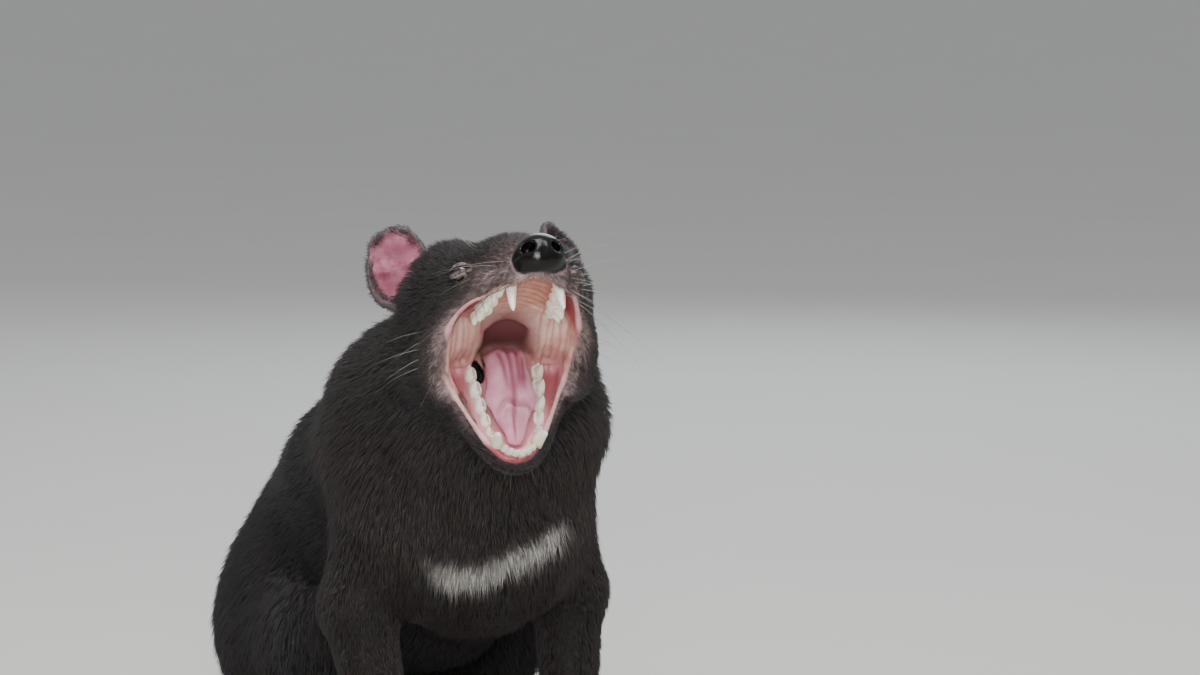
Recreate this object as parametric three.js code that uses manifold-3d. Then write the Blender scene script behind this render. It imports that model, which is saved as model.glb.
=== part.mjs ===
import * as THREE from "three";
import { mergeVertices } from "three/addons/utils/BufferGeometryUtils.js";
import Module from "manifold-3d";

// A Tasmanian devil sitting on its haunches, snout raised, mouth wide open in a yawn.
// Lengths are millimetres. +Z is up, the animal faces -Y, and its right side is -X.
// Every solid reaches out to the tips of the coat.

const solids = await Module();
solids.setup();

const seam = 0.3; // gap between neighbouring parts
const degrees = Math.PI / 180;

// Head frame: forward along the palate, left, up; its origin is midway between the jaw joints.
const jawJoint = [-6, -56, 300];
const headTurn = -9 * degrees; // towards the animal's right
const headRaise = 28.7 * degrees;
const gape = 80.5 * degrees; // opening of the lower jaw about the joints

const ahead = new THREE.Vector3(
  Math.sin(headTurn) * Math.cos(headRaise),
  -Math.cos(headTurn) * Math.cos(headRaise),
  Math.sin(headRaise)
);
const leftward = new THREE.Vector3(Math.cos(headTurn), Math.sin(headTurn), 0);
const upward = new THREE.Vector3().crossVectors(ahead, leftward);
const headFrame = new THREE.Matrix4()
  .makeBasis(ahead, leftward, upward)
  .setPosition(...jawJoint);
const jawFrame = headFrame.clone().multiply(new THREE.Matrix4().makeRotationY(gape));

// Body forms as [side, back, up]: ellipsoids give centre, half sizes and blend,
// bones give both ends with their radii. A side above zero stands for a left and right pair.
const trunkForms = {
  chest: { at: [0, 4, 160], half: [79, 57, 74], blend: 1 },
  shoulders: { at: [0, 36, 208], half: [94, 74, 56], blend: 34 },
  nape: { at: [0, -15, 266], half: [74, 52, 54], blend: 34 },
  neckRoot: { at: [0, 34, 246], half: [85, 68, 57], blend: 40 },
  throat: { at: [0, -28, 222], half: [58, 32, 52], blend: 26 },
  barrel: { at: [0, 112, 174], half: [91, 98, 79], blend: 40 },
  belly: { at: [0, 104, 112], half: [66, 88, 66], blend: 30 },
  rump: { at: [0, 190, 112], half: [91, 88, 88], blend: 42 },
  haunch: { at: [62, 198, 66], half: [46, 74, 70], blend: 26 },
  knee: { at: [74, 128, 68], half: [30, 42, 45], blend: 20 }
};
// The neck bulges on the left, away from the turned head.
const leftRuff = { at: [47, -8, 226], half: [38, 42, 40], blend: 26 };
const limbBones = {
  upperArm: { from: [54, 24, 186], to: [75, 22, 110], radii: [34, 27], blend: 22 },
  forearm: { from: [75, 22, 110], to: [67, 3, 26], radii: [26, 19], blend: 10 },
  palm: { from: [67, 6, 12], to: [65, -20, 10], radii: [19, 17], blend: 10 },
  heel: { from: [82, 186, 16], to: [82, 128, 14], radii: [19, 17], blend: 12 },
  sole: { from: [82, 128, 14], to: [80, 88, 10], radii: [17, 16], blend: 10 }
};
// Toes: where the row starts and ends, spread of the tips and thickness.
const fingers = { count: 5, back: -22, tip: -47, side: 65, rootGap: 7.6, tipGap: 10.4, thick: 6.4, blend: 4 };
const toes = { count: 4, back: 86, tip: 58, side: 80, rootGap: 8, tipGap: 10.2, thick: 6.6, blend: 4 };
const fingerBend = 3.4; // outer toes start further back than the middle one

// Tail lying on the floor, curved to the left; [side, back, radius] along its length.
const tailLine = [
  [0, 250, 34],
  [3, 292, 29],
  [14, 336, 24],
  [36, 380, 19.5],
  [68, 420, 15],
  [106, 452, 9]
];
const tailSink = 1.2; // how far its round underside is pressed flat

// Head forms in the head frame as [forward, side, up].
const skullForms = {
  cranium: { at: [0, 0, 8], half: [50, 50, 36], blend: 1 },
  temple: { at: [12, 27, 22], half: [32, 24, 22], blend: 14 },
  brow: { at: [36, 0, 12], half: [34, 32, 23], blend: 18 },
  cheekbone: { at: [4, 34, -4], half: [38, 21, 28], blend: 14 },
  chops: { at: [0, 43, -24], half: [27, 16, 30], blend: 12 },
  crown: { at: [-6, 29, 29], half: [29, 24, 27], blend: 16 },
  earBase: { at: [-14, 46, 18], half: [22, 19, 26], blend: 12 },
  lipFill: { at: [44, 26, -1], half: [34, 14, 14], blend: 12 },
  whiskerPad: { at: [77, 11.5, -4], half: [19, 12, 13], blend: 9 },
  noseEnd: { at: [95.5, 0, 1.8], half: [11, 14, 13], blend: 5 }
};
const snoutBridge = { from: [46, 0, 15], to: [90, 0, 5], radii: [22, 10.5], blend: 14 };
// Lower jaw forms in the same axes, as they lie when the mouth is shut.
const jawForms = {
  chin: { at: [84, 0, -19], half: [15, 15, 10], blend: 12 },
  jawFront: { at: [74, 0, -20], half: [22, 24, 12], blend: 12 },
  jawMiddle: { at: [50, 0, -21], half: [36, 37, 15], blend: 14 },
  jawRear: { at: [22, 0, -25], half: [36, 47, 20], blend: 16 }
};
// Edges of the mouth: the lip roll from corner to front, and its thickness.
const upperLip = [
  [7, 42.5, -28],
  [14, 43, -24],
  [26, 43, -19],
  [40, 40, -13],
  [56, 35, -11],
  [70, 28.5, -12],
  [84, 19.5, -13],
  [92.5, 9.5, -11.5],
  [95.5, 0, -8.5]
];
const lowerLip = [
  [28, 42.5, -1],
  [36, 40, -5],
  [46, 36, -8],
  [58, 31, -10],
  [72, 24.5, -11.5],
  [84, 16.5, -12.5],
  [92.5, 8, -13],
  [94.5, 0, -13]
];
const lipShift = -2; // the open lips sit slightly to the right
const lipThick = 3.6;
// Hollow of the mouth.
const palate = { height: -4, arch: 3, archWidth: 20, rearDrop: 10, rearStart: 26, rearEnd: -8 };
const lipInside = [1, 8]; // from the lip line inwards: where the roof leaves the lip and reaches the palate
const mouthFloor = -15; // height of the floor of the mouth in the frame of the shut lower jaw
const cheekWall = { throatWidth: 20, cornerWidth: 42, throatEnd: 14, corner: 28, flare: 4 };
const gullet = { from: [4, 0, -16], to: [-34, 0, -24], radii: [17, 9] };
const hollowBlend = 7;
const headBlend = 18;

// Nostrils open forward and out to the sides.
const nostril = { at: [101.4, 10.2, 7.6], half: [7, 3.6, 3] };
const nostrilSlit = { from: [99, 13, 5], to: [93, 17, 2], radii: [1.9, 1.5] };
const noseGroove = { from: [108.2, 0, 14], to: [104, 0, -6], radii: [1.5, 1.5] };

const eye = { right: [47.5, -35, 14.5], left: [47.5, 36.5, 10], radius: 6.2 };
const lid = { ring: 6.7, thick: 2.2, gapRight: 0.7, gapLeft: 2.1 };

const ear = {
  thick: 2.6,
  height: 60,
  width: 20.5,
  cup: 11,
  right: { root: [-16, -67, 20], tip: [-19, -54, 82], facing: [1, -0.25, -0.1] },
  left: { root: [-18, 48, 20], tip: [-23, 50, 79], facing: [0.75, 0.6, -0.1] }
};

// Tongue in the frame of the shut lower jaw: [forward, up, half width, half height].
const tongueLine = [
  [21, -8, 11, 6.5],
  [30, -4, 14.5, 9.5],
  [43, -3, 16, 9.5],
  [56, -4.5, 16, 8],
  [68, -7.5, 12.5, 6],
  [76, -9.5, 8, 4]
];

// Teeth: [forward, side, length, half length, half width] along each row.
const upperTeeth = {
  incisors: [[93.5, 1.8], [92.8, 5.2], [91, 8.4], [88.5, 11]],
  incisorSize: [14, 1.6, 1.4],
  canine: { root: [84.2, 15.6, -2], tip: [83.6, 17, -27], radius: 4.3, bend: 2.6 },
  cheek: [
    [74.5, 18.6, 13, 3, 2.2],
    [67, 20.6, 14, 3.4, 2.4],
    [58.5, 22.4, 16, 4, 3],
    [48.5, 23.6, 17.5, 4.6, 3.6],
    [38, 24.6, 18.5, 4.8, 4],
    [29, 25, 17, 3.2, 4]
  ]
};
const lowerTeeth = {
  incisors: [[91, 1.8], [90, 5], [88, 8]],
  incisorSize: [11, 1.6, 1.4],
  canine: { root: [84, 12.6, -16], tip: [86, 15.6, 3.5], radius: 4.2, bend: -2.4 },
  cheek: [
    [74, 16.6, 12, 3, 2.1],
    [66, 18.4, 13, 3.4, 2.3],
    [57, 20, 14, 4, 2.8],
    [47.5, 21.4, 15, 4.6, 3.2],
    [37.5, 22.6, 15.5, 4.8, 3.4],
    [28, 23.4, 15, 4.6, 3.4]
  ]
};
const upperBase = 2;
const lowerBase = -20;

const claw = { length: 15, radius: 2.7, drop: 5, rise: 3 };

const fineStep = 8.25; // mesh spacing on the head
const footStep = 8;
const bodyStep = 16.3;
const noseStep = 3.5;
const far = 900; // beyond any part of the animal

// Distances from a point to the forms are below zero inside them.

function ellipsoidGap(x, y, z, at, half) {
  const ax = (x - at[0]) / half[0];
  const ay = (y - at[1]) / half[1];
  const az = (z - at[2]) / half[2];
  const reach = Math.hypot(ax, ay, az);
  const slope = Math.hypot(ax / half[0], ay / half[1], az / half[2]);
  return slope < 1e-9 ? -Math.min(...half) : (reach * (reach - 1)) / slope;
}

function boneGap(x, y, z, from, to, radii) {
  const bx = to[0] - from[0];
  const by = to[1] - from[1];
  const bz = to[2] - from[2];
  const px = x - from[0];
  const py = y - from[1];
  const pz = z - from[2];
  const along = (px * bx + py * by + pz * bz) / (bx * bx + by * by + bz * bz);
  const t = Math.min(1, Math.max(0, along));
  return Math.hypot(px - bx * t, py - by * t, pz - bz * t) - radii[0] - (radii[1] - radii[0]) * t;
}

function join(a, b, blend) {
  const near = Math.max(blend - Math.abs(a - b), 0) / blend;
  return Math.min(a, b) - near * near * blend * 0.25;
}

function carve(a, hollow, blend) {
  return -join(-a, hollow, blend);
}

function ease(low, high, value) {
  const t = Math.min(1, Math.max(0, (value - low) / (high - low)));
  return t * t * (3 - 2 * t);
}

const trunkList = Object.values(trunkForms);
const limbList = Object.values(limbBones);
const skullList = Object.values(skullForms);
const jawList = Object.values(jawForms);
const tailBones = tailLine.slice(1).map((end, i) => {
  const start = tailLine[i];
  return {
    from: [start[0], start[1], start[2] - tailSink],
    to: [end[0], end[1], end[2] - tailSink],
    radii: [start[2], end[2]]
  };
});

// Toe bones of one foot, from the inner toe to the outer one.
function toeBones(row) {
  return Array.from({ length: row.count }, (unused, i) => {
    const place = i - (row.count - 1) / 2;
    const late = Math.abs(place) * fingerBend;
    return {
      from: [row.side + place * row.rootGap, row.back + late * 0.4, row.thick + 2],
      to: [row.side + place * row.tipGap, row.tip + late, row.thick - 0.8],
      radii: [row.thick + 0.6, row.thick],
      blend: row.blend
    };
  });
}
const fingerBones = toeBones(fingers);
const toeRow = toeBones(toes);
const pawBones = [...fingerBones, ...toeRow];

function trunkGap(x, y, z) {
  const side = Math.abs(x);
  let gap = far;
  for (const form of trunkList) {
    gap = join(gap, ellipsoidGap(side, y, z, form.at, form.half), form.blend);
  }
  for (const bone of limbList) {
    gap = join(gap, boneGap(side, y, z, bone.from, bone.to, bone.radii), bone.blend);
  }
  for (const bone of pawBones) {
    gap = join(gap, boneGap(side, y, z, bone.from, bone.to, bone.radii), bone.blend);
  }
  gap = join(gap, ellipsoidGap(x, y, z, leftRuff.at, leftRuff.half), leftRuff.blend);
  let tail = far;
  for (const bone of tailBones) {
    tail = join(tail, boneGap(x, y, z, bone.from, bone.to, bone.radii), 4);
  }
  return join(gap, tail, 16);
}

// Side and height of a line of [forward, side, up] points at a forward place.
function lineAt(line, forward) {
  const i = Math.max(1, line.findIndex((point) => point[0] > forward));
  const [a, b] = forward >= line[line.length - 1][0] ? line.slice(-2) : [line[i - 1], line[i]];
  const t = Math.min(1, Math.max(0, (forward - a[0]) / (b[0] - a[0])));
  return [a[1] + (b[1] - a[1]) * t, a[2] + (b[2] - a[2]) * t];
}

// Roof of the mouth: an arched palate that sinks towards the throat and comes down to the lip at its edge.
function palateHeight(forward, side) {
  const vault = palate.arch * Math.max(0, 1 - (side / palate.archWidth) ** 2);
  const rear = 1 - ease(palate.rearEnd, palate.rearStart, forward);
  const [lipSide, lipUp] = lineAt(upperLip, forward);
  const lipFront = upperLip[upperLip.length - 1][0];
  const inward = ease(...lipInside, Math.min(lipSide - side, lipFront - forward));
  const roof = palate.height + vault - palate.rearDrop * rear;
  return lipUp + (roof - lipUp) * inward;
}

// Floor of the mouth, which comes up to the lower lip at its edge.
function floorHeight(forward, side) {
  const [lipSide, lipUp] = lineAt(lowerLip, forward);
  const lipFront = lowerLip[lowerLip.length - 1][0];
  const inward = ease(...lipInside, Math.min(lipSide - side, lipFront - forward));
  return lipUp + (mouthFloor - lipUp) * inward;
}

const cosGape = Math.cos(gape);
const sinGape = Math.sin(gape);

function mouthHollow(f, l, u, jawF, jawU) {
  const side = Math.abs(l);
  const reach = Math.hypot(f, u);
  const wall =
    cheekWall.throatWidth +
    (cheekWall.cornerWidth - cheekWall.throatWidth) * ease(cheekWall.throatEnd, cheekWall.corner, reach) +
    Math.max(0, reach - cheekWall.corner) * cheekWall.flare;
  const wallGap = (side - wall) / (reach > cheekWall.corner ? Math.hypot(1, cheekWall.flare) : 1.3);
  let gap = -join(-(u - palateHeight(f, side)), -(floorHeight(jawF, side) - jawU), 8);
  gap = -join(-gap, -wallGap, 8);
  return join(gap, boneGap(f, side, u, gullet.from, gullet.to, gullet.radii), 8);
}

// The coat's outline of the whole animal.
function coatGap(x, y, z) {
  const trunk = trunkGap(x, y, z);
  const dx = x - jawJoint[0];
  const dy = y - jawJoint[1];
  const dz = z - jawJoint[2];
  if (dx * dx + dy * dy + dz * dz > 190 * 190) return trunk;
  const f = dx * ahead.x + dy * ahead.y + dz * ahead.z;
  const l = dx * leftward.x + dy * leftward.y + dz * leftward.z;
  const u = dx * upward.x + dy * upward.y + dz * upward.z;
  const side = Math.abs(l);
  const jawF = f * cosGape - u * sinGape;
  const jawU = f * sinGape + u * cosGape;
  let skull = far;
  for (const form of skullList) {
    skull = join(skull, ellipsoidGap(f, side, u, form.at, form.half), form.blend);
  }
  const bridge = boneGap(f, side, u, snoutBridge.from, snoutBridge.to, snoutBridge.radii);
  skull = join(skull, bridge, snoutBridge.blend);
  let jaw = far;
  for (const form of jawList) {
    jaw = join(jaw, ellipsoidGap(jawF, side, jawU, form.at, form.half), form.blend);
  }
  const gap = join(join(skull, jaw, 8), trunk, headBlend);
  return carve(gap, mouthHollow(f, l, u, jawF, jawU), hollowBlend);
}

// The same outline with nostrils and the groove between them, for the end of the snout.
function noseGap(x, y, z) {
  const dx = x - jawJoint[0];
  const dy = y - jawJoint[1];
  const dz = z - jawJoint[2];
  const f = dx * ahead.x + dy * ahead.y + dz * ahead.z;
  const side = Math.abs(dx * leftward.x + dy * leftward.y + dz * leftward.z);
  const u = dx * upward.x + dy * upward.y + dz * upward.z;
  let gap = coatGap(x, y, z);
  gap = carve(gap, ellipsoidGap(f, side, u, nostril.at, nostril.half), 1.5);
  gap = carve(gap, boneGap(f, side, u, nostrilSlit.from, nostrilSlit.to, nostrilSlit.radii), 1.5);
  return carve(gap, boneGap(f, side, u, noseGroove.from, noseGroove.to, noseGroove.radii), 1.5);
}

// Closed surface where the gap is zero, one point for each crossed cell of a regular grid.
function skinOf(gapAt, low, high, step) {
  const count = low.map((v, i) => Math.ceil((high[i] - v) / step) + 1);
  const [nx, ny, nz] = count;
  const values = new Float64Array(nx * ny * nz);
  const at = (i, j, k) => i + nx * (j + ny * k);
  for (let k = 0; k < nz; k++) {
    for (let j = 0; j < ny; j++) {
      for (let i = 0; i < nx; i++) {
        const rim = i === 0 || j === 0 || k === 0 || i === nx - 1 || j === ny - 1 || k === nz - 1;
        const gap = gapAt(low[0] + i * step, low[1] + j * step, low[2] + k * step);
        values[at(i, j, k)] = rim ? far : gap || 1e-6;
      }
    }
  }
  untangle(values, count);
  const cellPoint = new Map();
  const points = [];
  const jump = [1, nx, nx * ny];
  for (let k = 0; k < nz - 1; k++) {
    for (let j = 0; j < ny - 1; j++) {
      for (let i = 0; i < nx - 1; i++) {
        const corner = at(i, j, k);
        const sum = [0, 0, 0];
        let crossings = 0;
        for (let axis = 0; axis < 3; axis++) {
          const a = (axis + 1) % 3;
          const b = (axis + 2) % 3;
          for (let m = 0; m < 4; m++) {
            const da = m & 1;
            const db = m >> 1;
            const start = corner + da * jump[a] + db * jump[b];
            const v0 = values[start];
            const v1 = values[start + jump[axis]];
            if (v0 < 0 === v1 < 0) continue;
            sum[axis] += v0 / (v0 - v1);
            sum[a] += da;
            sum[b] += db;
            crossings++;
          }
        }
        if (!crossings) continue;
        cellPoint.set(corner, points.length);
        points.push([
          low[0] + (i + sum[0] / crossings) * step,
          low[1] + (j + sum[1] / crossings) * step,
          low[2] + (k + sum[2] / crossings) * step
        ]);
      }
    }
  }
  for (const point of points) settle(point, gapAt, low, high, step);
  const faces = [];
  for (let k = 0; k < nz - 1; k++) {
    for (let j = 0; j < ny - 1; j++) {
      for (let i = 0; i < nx - 1; i++) {
        const start = at(i, j, k);
        for (let axis = 0; axis < 3; axis++) {
          const v0 = values[start];
          const v1 = values[start + jump[axis]];
          if (v0 < 0 === v1 < 0) continue;
          const a = jump[(axis + 1) % 3];
          const b = jump[(axis + 2) % 3];
          const ring = [start, start - a, start - a - b, start - b].map((c) => cellPoint.get(c));
          if (v0 < 0) faces.push(ring[0], ring[1], ring[2], ring[0], ring[2], ring[3]);
          else faces.push(ring[0], ring[2], ring[1], ring[0], ring[3], ring[2]);
        }
      }
    }
  }
  return solidFrom(points.flat(), faces);
}

// Two diagonal corners of a grid face may not both stand alone: the weakest corner changes side.
function untangle(values, count) {
  const [nx, ny, nz] = count;
  const jump = [1, nx, nx * ny];
  for (let pass = 0; pass < 8; pass++) {
    let changed = 0;
    for (let axis = 0; axis < 3; axis++) {
      const a = (axis + 1) % 3;
      const b = (axis + 2) % 3;
      const limit = count.map((n, i) => (i === axis ? n : n - 1));
      for (let k = 0; k < limit[2]; k++) {
        for (let j = 0; j < limit[1]; j++) {
          for (let i = 0; i < limit[0]; i++) {
            const start = i + nx * (j + ny * k);
            const ring = [start, start + jump[a], start + jump[a] + jump[b], start + jump[b]];
            const inside = ring.map((c) => values[c] < 0);
            if (inside[0] !== inside[2] || inside[1] !== inside[3] || inside[0] === inside[1]) continue;
            const weakest = ring.reduce((p, q) => (Math.abs(values[q]) < Math.abs(values[p]) ? q : p));
            values[weakest] = -Math.sign(values[weakest]) * 1e-3;
            changed++;
          }
        }
      }
    }
    if (!changed) return;
  }
}

// Moves a point along the slope of the gap until it lies on the surface.
function settle(point, gapAt, low, high, step) {
  const h = 0.4;
  const inRim = point.some((v, i) => v < low[i] + step || v > high[i] - step);
  if (inRim) return;
  const start = [...point];
  for (let pass = 0; pass < 3; pass++) {
    const [x, y, z] = point;
    const gap = gapAt(x, y, z);
    const slope = [
      gapAt(x + h, y, z) - gapAt(x - h, y, z),
      gapAt(x, y + h, z) - gapAt(x, y - h, z),
      gapAt(x, y, z + h) - gapAt(x, y, z - h)
    ].map((v) => v / (2 * h));
    const steep = Math.max(0.3, slope[0] ** 2 + slope[1] ** 2 + slope[2] ** 2);
    for (let i = 0; i < 3; i++) {
      const moved = point[i] - (gap * slope[i]) / steep;
      point[i] = Math.min(start[i] + step * 0.45, Math.max(start[i] - step * 0.45, moved));
    }
  }
}

function solidFrom(positions, faces) {
  return new solids.Manifold(
    new solids.Mesh({
      numProp: 3,
      vertProperties: new Float32Array(positions),
      triVerts: new Uint32Array(faces)
    })
  );
}

function solidOf(geometry, frame) {
  const bare = geometry.clone();
  bare.deleteAttribute("normal");
  bare.deleteAttribute("uv");
  if (frame) bare.applyMatrix4(frame);
  const merged = mergeVertices(bare, 1e-4);
  return solidFrom(merged.attributes.position.array, merged.index.array);
}

// Box between two corners in a given frame, grown on every side.
function boxSolid(low, high, grow = 0, frame = null) {
  const size = high.map((v, i) => v - low[i] + 2 * grow);
  const middle = high.map((v, i) => (v + low[i]) / 2);
  const place = new THREE.Matrix4().makeTranslation(...middle);
  if (frame) place.premultiply(frame);
  return solidOf(new THREE.BoxGeometry(...size), place);
}

// Round-ended body through rings of points, each ring one cross-section; both ends close to a point.
function ringSolid(rings, startPoint, endPoint, frame) {
  const positions = [...startPoint];
  const around = rings[0].length;
  for (const ring of rings) positions.push(...ring.flat());
  positions.push(...endPoint);
  const last = 1 + rings.length * around;
  const faces = [];
  for (let j = 0; j < around; j++) {
    const next = (j + 1) % around;
    faces.push(0, 1 + next, 1 + j);
    for (let i = 0; i < rings.length - 1; i++) {
      const a = 1 + i * around;
      const b = a + around;
      faces.push(a + j, a + next, b + next, a + j, b + next, b + j);
    }
    const end = last - around;
    faces.push(end + j, end + next, last);
  }
  if (frame) {
    const point = new THREE.Vector3();
    for (let i = 0; i < positions.length; i += 3) {
      point.set(positions[i], positions[i + 1], positions[i + 2]).applyMatrix4(frame);
      positions[i] = point.x;
      positions[i + 1] = point.y;
      positions[i + 2] = point.z;
    }
  }
  const made = solidFrom(positions, faces);
  if (made.volume() > 0) return made;
  for (let i = 0; i < faces.length; i += 3) [faces[i], faces[i + 1]] = [faces[i + 1], faces[i]];
  return solidFrom(positions, faces);
}

// Round roll along a line given for the left side, carried over to the right.
function rollSolid(line, thick, frame) {
  const right = line.slice(0, -1).map(([f, l, u]) => new THREE.Vector3(f, lipShift - l, u));
  const left = line.map(([f, l, u]) => new THREE.Vector3(f, lipShift + l, u)).reverse();
  const curve = new THREE.CatmullRomCurve3([...right, ...left]);
  const steps = 3 * line.length;
  const around = 6;
  const rings = Array.from({ length: steps + 1 }, (unused, i) => {
    const centre = curve.getPoint(i / steps);
    const across = new THREE.Vector3(0, 0, 1).cross(curve.getTangent(i / steps)).normalize();
    return Array.from({ length: around }, (unusedToo, j) => {
      const angle = (j / around) * 2 * Math.PI;
      const point = centre.clone().addScaledVector(across, Math.cos(angle) * thick);
      return [point.x, point.y, point.z + Math.sin(angle) * thick];
    });
  });
  return ringSolid(rings, curve.getPoint(0).toArray(), curve.getPoint(1).toArray(), frame);
}

// Pointed body that bends from its root to its tip.
function spikeSolid(root, tip, radius, bend, flat, around, frame, levels = [0, 0.5, 0.82]) {
  const start = new THREE.Vector3(...root);
  const span = new THREE.Vector3(...tip).sub(start);
  const way = span.clone().normalize();
  const across = new THREE.Vector3(0, 1, 0).cross(way).normalize();
  const wide = new THREE.Vector3().crossVectors(way, across);
  const rings = levels.map((t) => {
    const centre = start.clone().addScaledVector(span, t).addScaledVector(across, bend * 4 * t * (1 - t));
    const thick = radius * Math.sqrt(1 - t * t * 0.86);
    return Array.from({ length: around }, (unused, j) => {
      const angle = (j / around) * 2 * Math.PI;
      return centre
        .clone()
        .addScaledVector(across, Math.cos(angle) * thick)
        .addScaledVector(wide, Math.sin(angle) * thick * flat)
        .toArray();
    });
  });
  return ringSolid(rings, root, tip, frame);
}

// Cheek tooth: a six-sided crown, highest in the middle, with cusps at both ends of the row's line.
function crownSolid(forward, side, height, halfLong, halfWide, base, rise, frame) {
  const around = 6;
  const rings = [0, 1].map((top) =>
    Array.from({ length: around }, (unused, j) => {
      const angle = (j / around) * 2 * Math.PI;
      const cusp = 0.62 + 0.22 * Math.abs(Math.cos(angle)) ** 3;
      return [
        forward + Math.cos(angle) * halfLong * (1 - 0.1 * top),
        side + Math.sin(angle) * halfWide * (1 - 0.2 * top),
        base + rise * height * cusp * top
      ];
    })
  );
  return ringSolid(rings, [forward, side, base], [forward, side, base + rise * height], frame);
}

function toothRow(teeth, base, rise, frame) {
  const made = [];
  const [tall, radius, flat] = teeth.incisorSize;
  for (const hand of [-1, 1]) {
    for (const [forward, side] of teeth.incisors) {
      const root = [forward, side * hand, base];
      const tip = [forward + 0.8, side * hand, base + rise * tall];
      made.push(spikeSolid(root, tip, radius, 0, flat, 4, frame, [0, 0.7]));
    }
    const { root, tip, radius: thick, bend } = teeth.canine;
    const low = [root[0], root[1] * hand, root[2]];
    const high = [tip[0], tip[1] * hand, tip[2]];
    made.push(spikeSolid(low, high, thick, bend, 0.85, 8, frame));
    for (const [forward, side, height, halfLong, halfWide] of teeth.cheek) {
      made.push(crownSolid(forward, side * hand, height, halfLong, halfWide, base, rise, frame));
    }
  }
  return made;
}

// Ear: a rounded leaf with a raised rim, hollow in front.
function earSolid(spec, grow) {
  const root = new THREE.Vector3(...spec.root);
  const tip = new THREE.Vector3(...spec.tip);
  const up = tip.clone().sub(root).normalize();
  const facing = new THREE.Vector3(...spec.facing).normalize();
  const side = new THREE.Vector3().crossVectors(up, facing).normalize();
  const front = new THREE.Vector3().crossVectors(side, up).normalize();
  const rings = [0.36, 0.7, 0.9, 1];
  const around = 16;
  const leaf = (angle, reach, back) => {
    const across = Math.sin(angle);
    const along = Math.cos(angle);
    const wide = (ear.width + grow) * reach * across * (along < 0 ? 0.94 : 1 - 0.1 * along);
    const tall = (ear.height / 2 + grow) * reach * along;
    const outward = across * reach * (1 + grow / ear.width);
    const bowl = ear.cup * (outward * outward - 0.55) * (along < 0 ? 1 : 1 - 0.3 * along);
    const thickness = ear.thick * (reach === 1 ? 0.5 : 1) + 3 * grow;
    const rim = reach > 0.8 ? 0.9 : 0;
    return root
      .clone()
      .addScaledVector(up, ear.height / 2 + tall)
      .addScaledVector(side, wide)
      .addScaledVector(front, bowl + (back ? -thickness / 2 : thickness / 2 + rim))
      .toArray();
  };
  const ringOf = (reach, back) =>
    Array.from({ length: around }, (unused, j) => leaf((j / around) * 2 * Math.PI, reach, back));
  const loops = [...rings.map((r) => ringOf(r, false)), ...rings.map((r) => ringOf(r, true)).reverse()];
  return ringSolid(loops, leaf(0, 0, false), leaf(0, 0, true), headFrame);
}

function tongueSolid(grow) {
  const around = 14;
  const rings = tongueLine.map(([forward, up, wide, tall]) =>
    Array.from({ length: around }, (unused, j) => {
      const angle = (j / around) * 2 * Math.PI;
      const groove = Math.max(0, Math.sin(angle)) ** 6 * 1.8;
      return [
        forward,
        Math.cos(angle) * (wide + grow),
        up + Math.sin(angle) * (tall + grow) - groove
      ];
    })
  );
  const [firstF, firstU] = tongueLine[0];
  const [lastF, lastU] = tongueLine[tongueLine.length - 1];
  return ringSolid(rings, [firstF - 3 - grow, 0, firstU], [lastF + 4 + grow, 0, lastU], jawFrame);
}

function eyeSolid(hand, grow) {
  const ball = new THREE.SphereGeometry(eye.radius + grow, 12, 8);
  const middle = hand < 0 ? eye.right : eye.left;
  const place = headFrame.clone().multiply(new THREE.Matrix4().makeTranslation(...middle));
  return solidOf(ball, place);
}

function tailSolid() {
  const middle = new THREE.CatmullRomCurve3(
    tailLine.map(([side, back, radius]) => new THREE.Vector3(side, back, radius - tailSink))
  );
  const steps = 12;
  const around = 10;
  const end = tailLine[tailLine.length - 1];
  const rings = Array.from({ length: steps + 1 }, (unused, i) => {
    const t = i / steps;
    const centre = middle.getPoint(t);
    const across = new THREE.Vector3(0, 0, 1).cross(middle.getTangent(t)).normalize();
    const radius = centre.z + tailSink;
    return Array.from({ length: around }, (unusedToo, j) => {
      const angle = (j / around) * 2 * Math.PI;
      const point = centre.clone().addScaledVector(across, Math.cos(angle) * radius);
      return [point.x, point.y, point.z + Math.sin(angle) * radius];
    });
  });
  const tip = middle.getPoint(1).addScaledVector(middle.getTangent(1), end[2]);
  return ringSolid(rings, middle.getPoint(0).toArray(), tip.toArray(), null);
}

// Upper and lower lids: rolls that lie over the eye and leave a slit between them.
function lidSolids(hand, opening) {
  const outward = new THREE.Vector3(0.62, hand * 0.78, 0.08).normalize();
  const along = new THREE.Vector3(0, 0, 1).cross(outward).normalize();
  const over = new THREE.Vector3().crossVectors(outward, along).normalize();
  const centre = new THREE.Vector3(...(hand < 0 ? eye.right : eye.left));
  return [1, -1].map((rise) => {
    const rings = [];
    const steps = 6;
    for (let i = 0; i <= steps; i++) {
      const sweep = (i / steps - 0.5) * Math.PI * 0.94;
      const lift = rise * (opening / 2 + lid.thick * 0.9) * Math.cos(sweep);
      const reach = Math.sqrt(Math.max(0, lid.ring ** 2 - lift * lift));
      const middle = centre
        .clone()
        .addScaledVector(outward, Math.cos(sweep) * reach)
        .addScaledVector(along, Math.sin(sweep) * reach * 1.12)
        .addScaledVector(over, lift);
      const thick = lid.thick * (0.55 + 0.45 * Math.cos(sweep));
      const away = middle.clone().sub(centre).normalize();
      rings.push(
        Array.from({ length: 5 }, (unused, j) => {
          const angle = (j / 5) * 2 * Math.PI;
          return middle
            .clone()
            .addScaledVector(away, Math.cos(angle) * thick)
            .addScaledVector(over, Math.sin(angle) * thick)
            .toArray();
        })
      );
    }
    const mean = (ring) => [0, 1, 2].map((c) => ring.reduce((sum, p) => sum + p[c], 0) / ring.length);
    return ringSolid(rings, mean(rings[0]), mean(rings[steps]), headFrame);
  });
}

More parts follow.
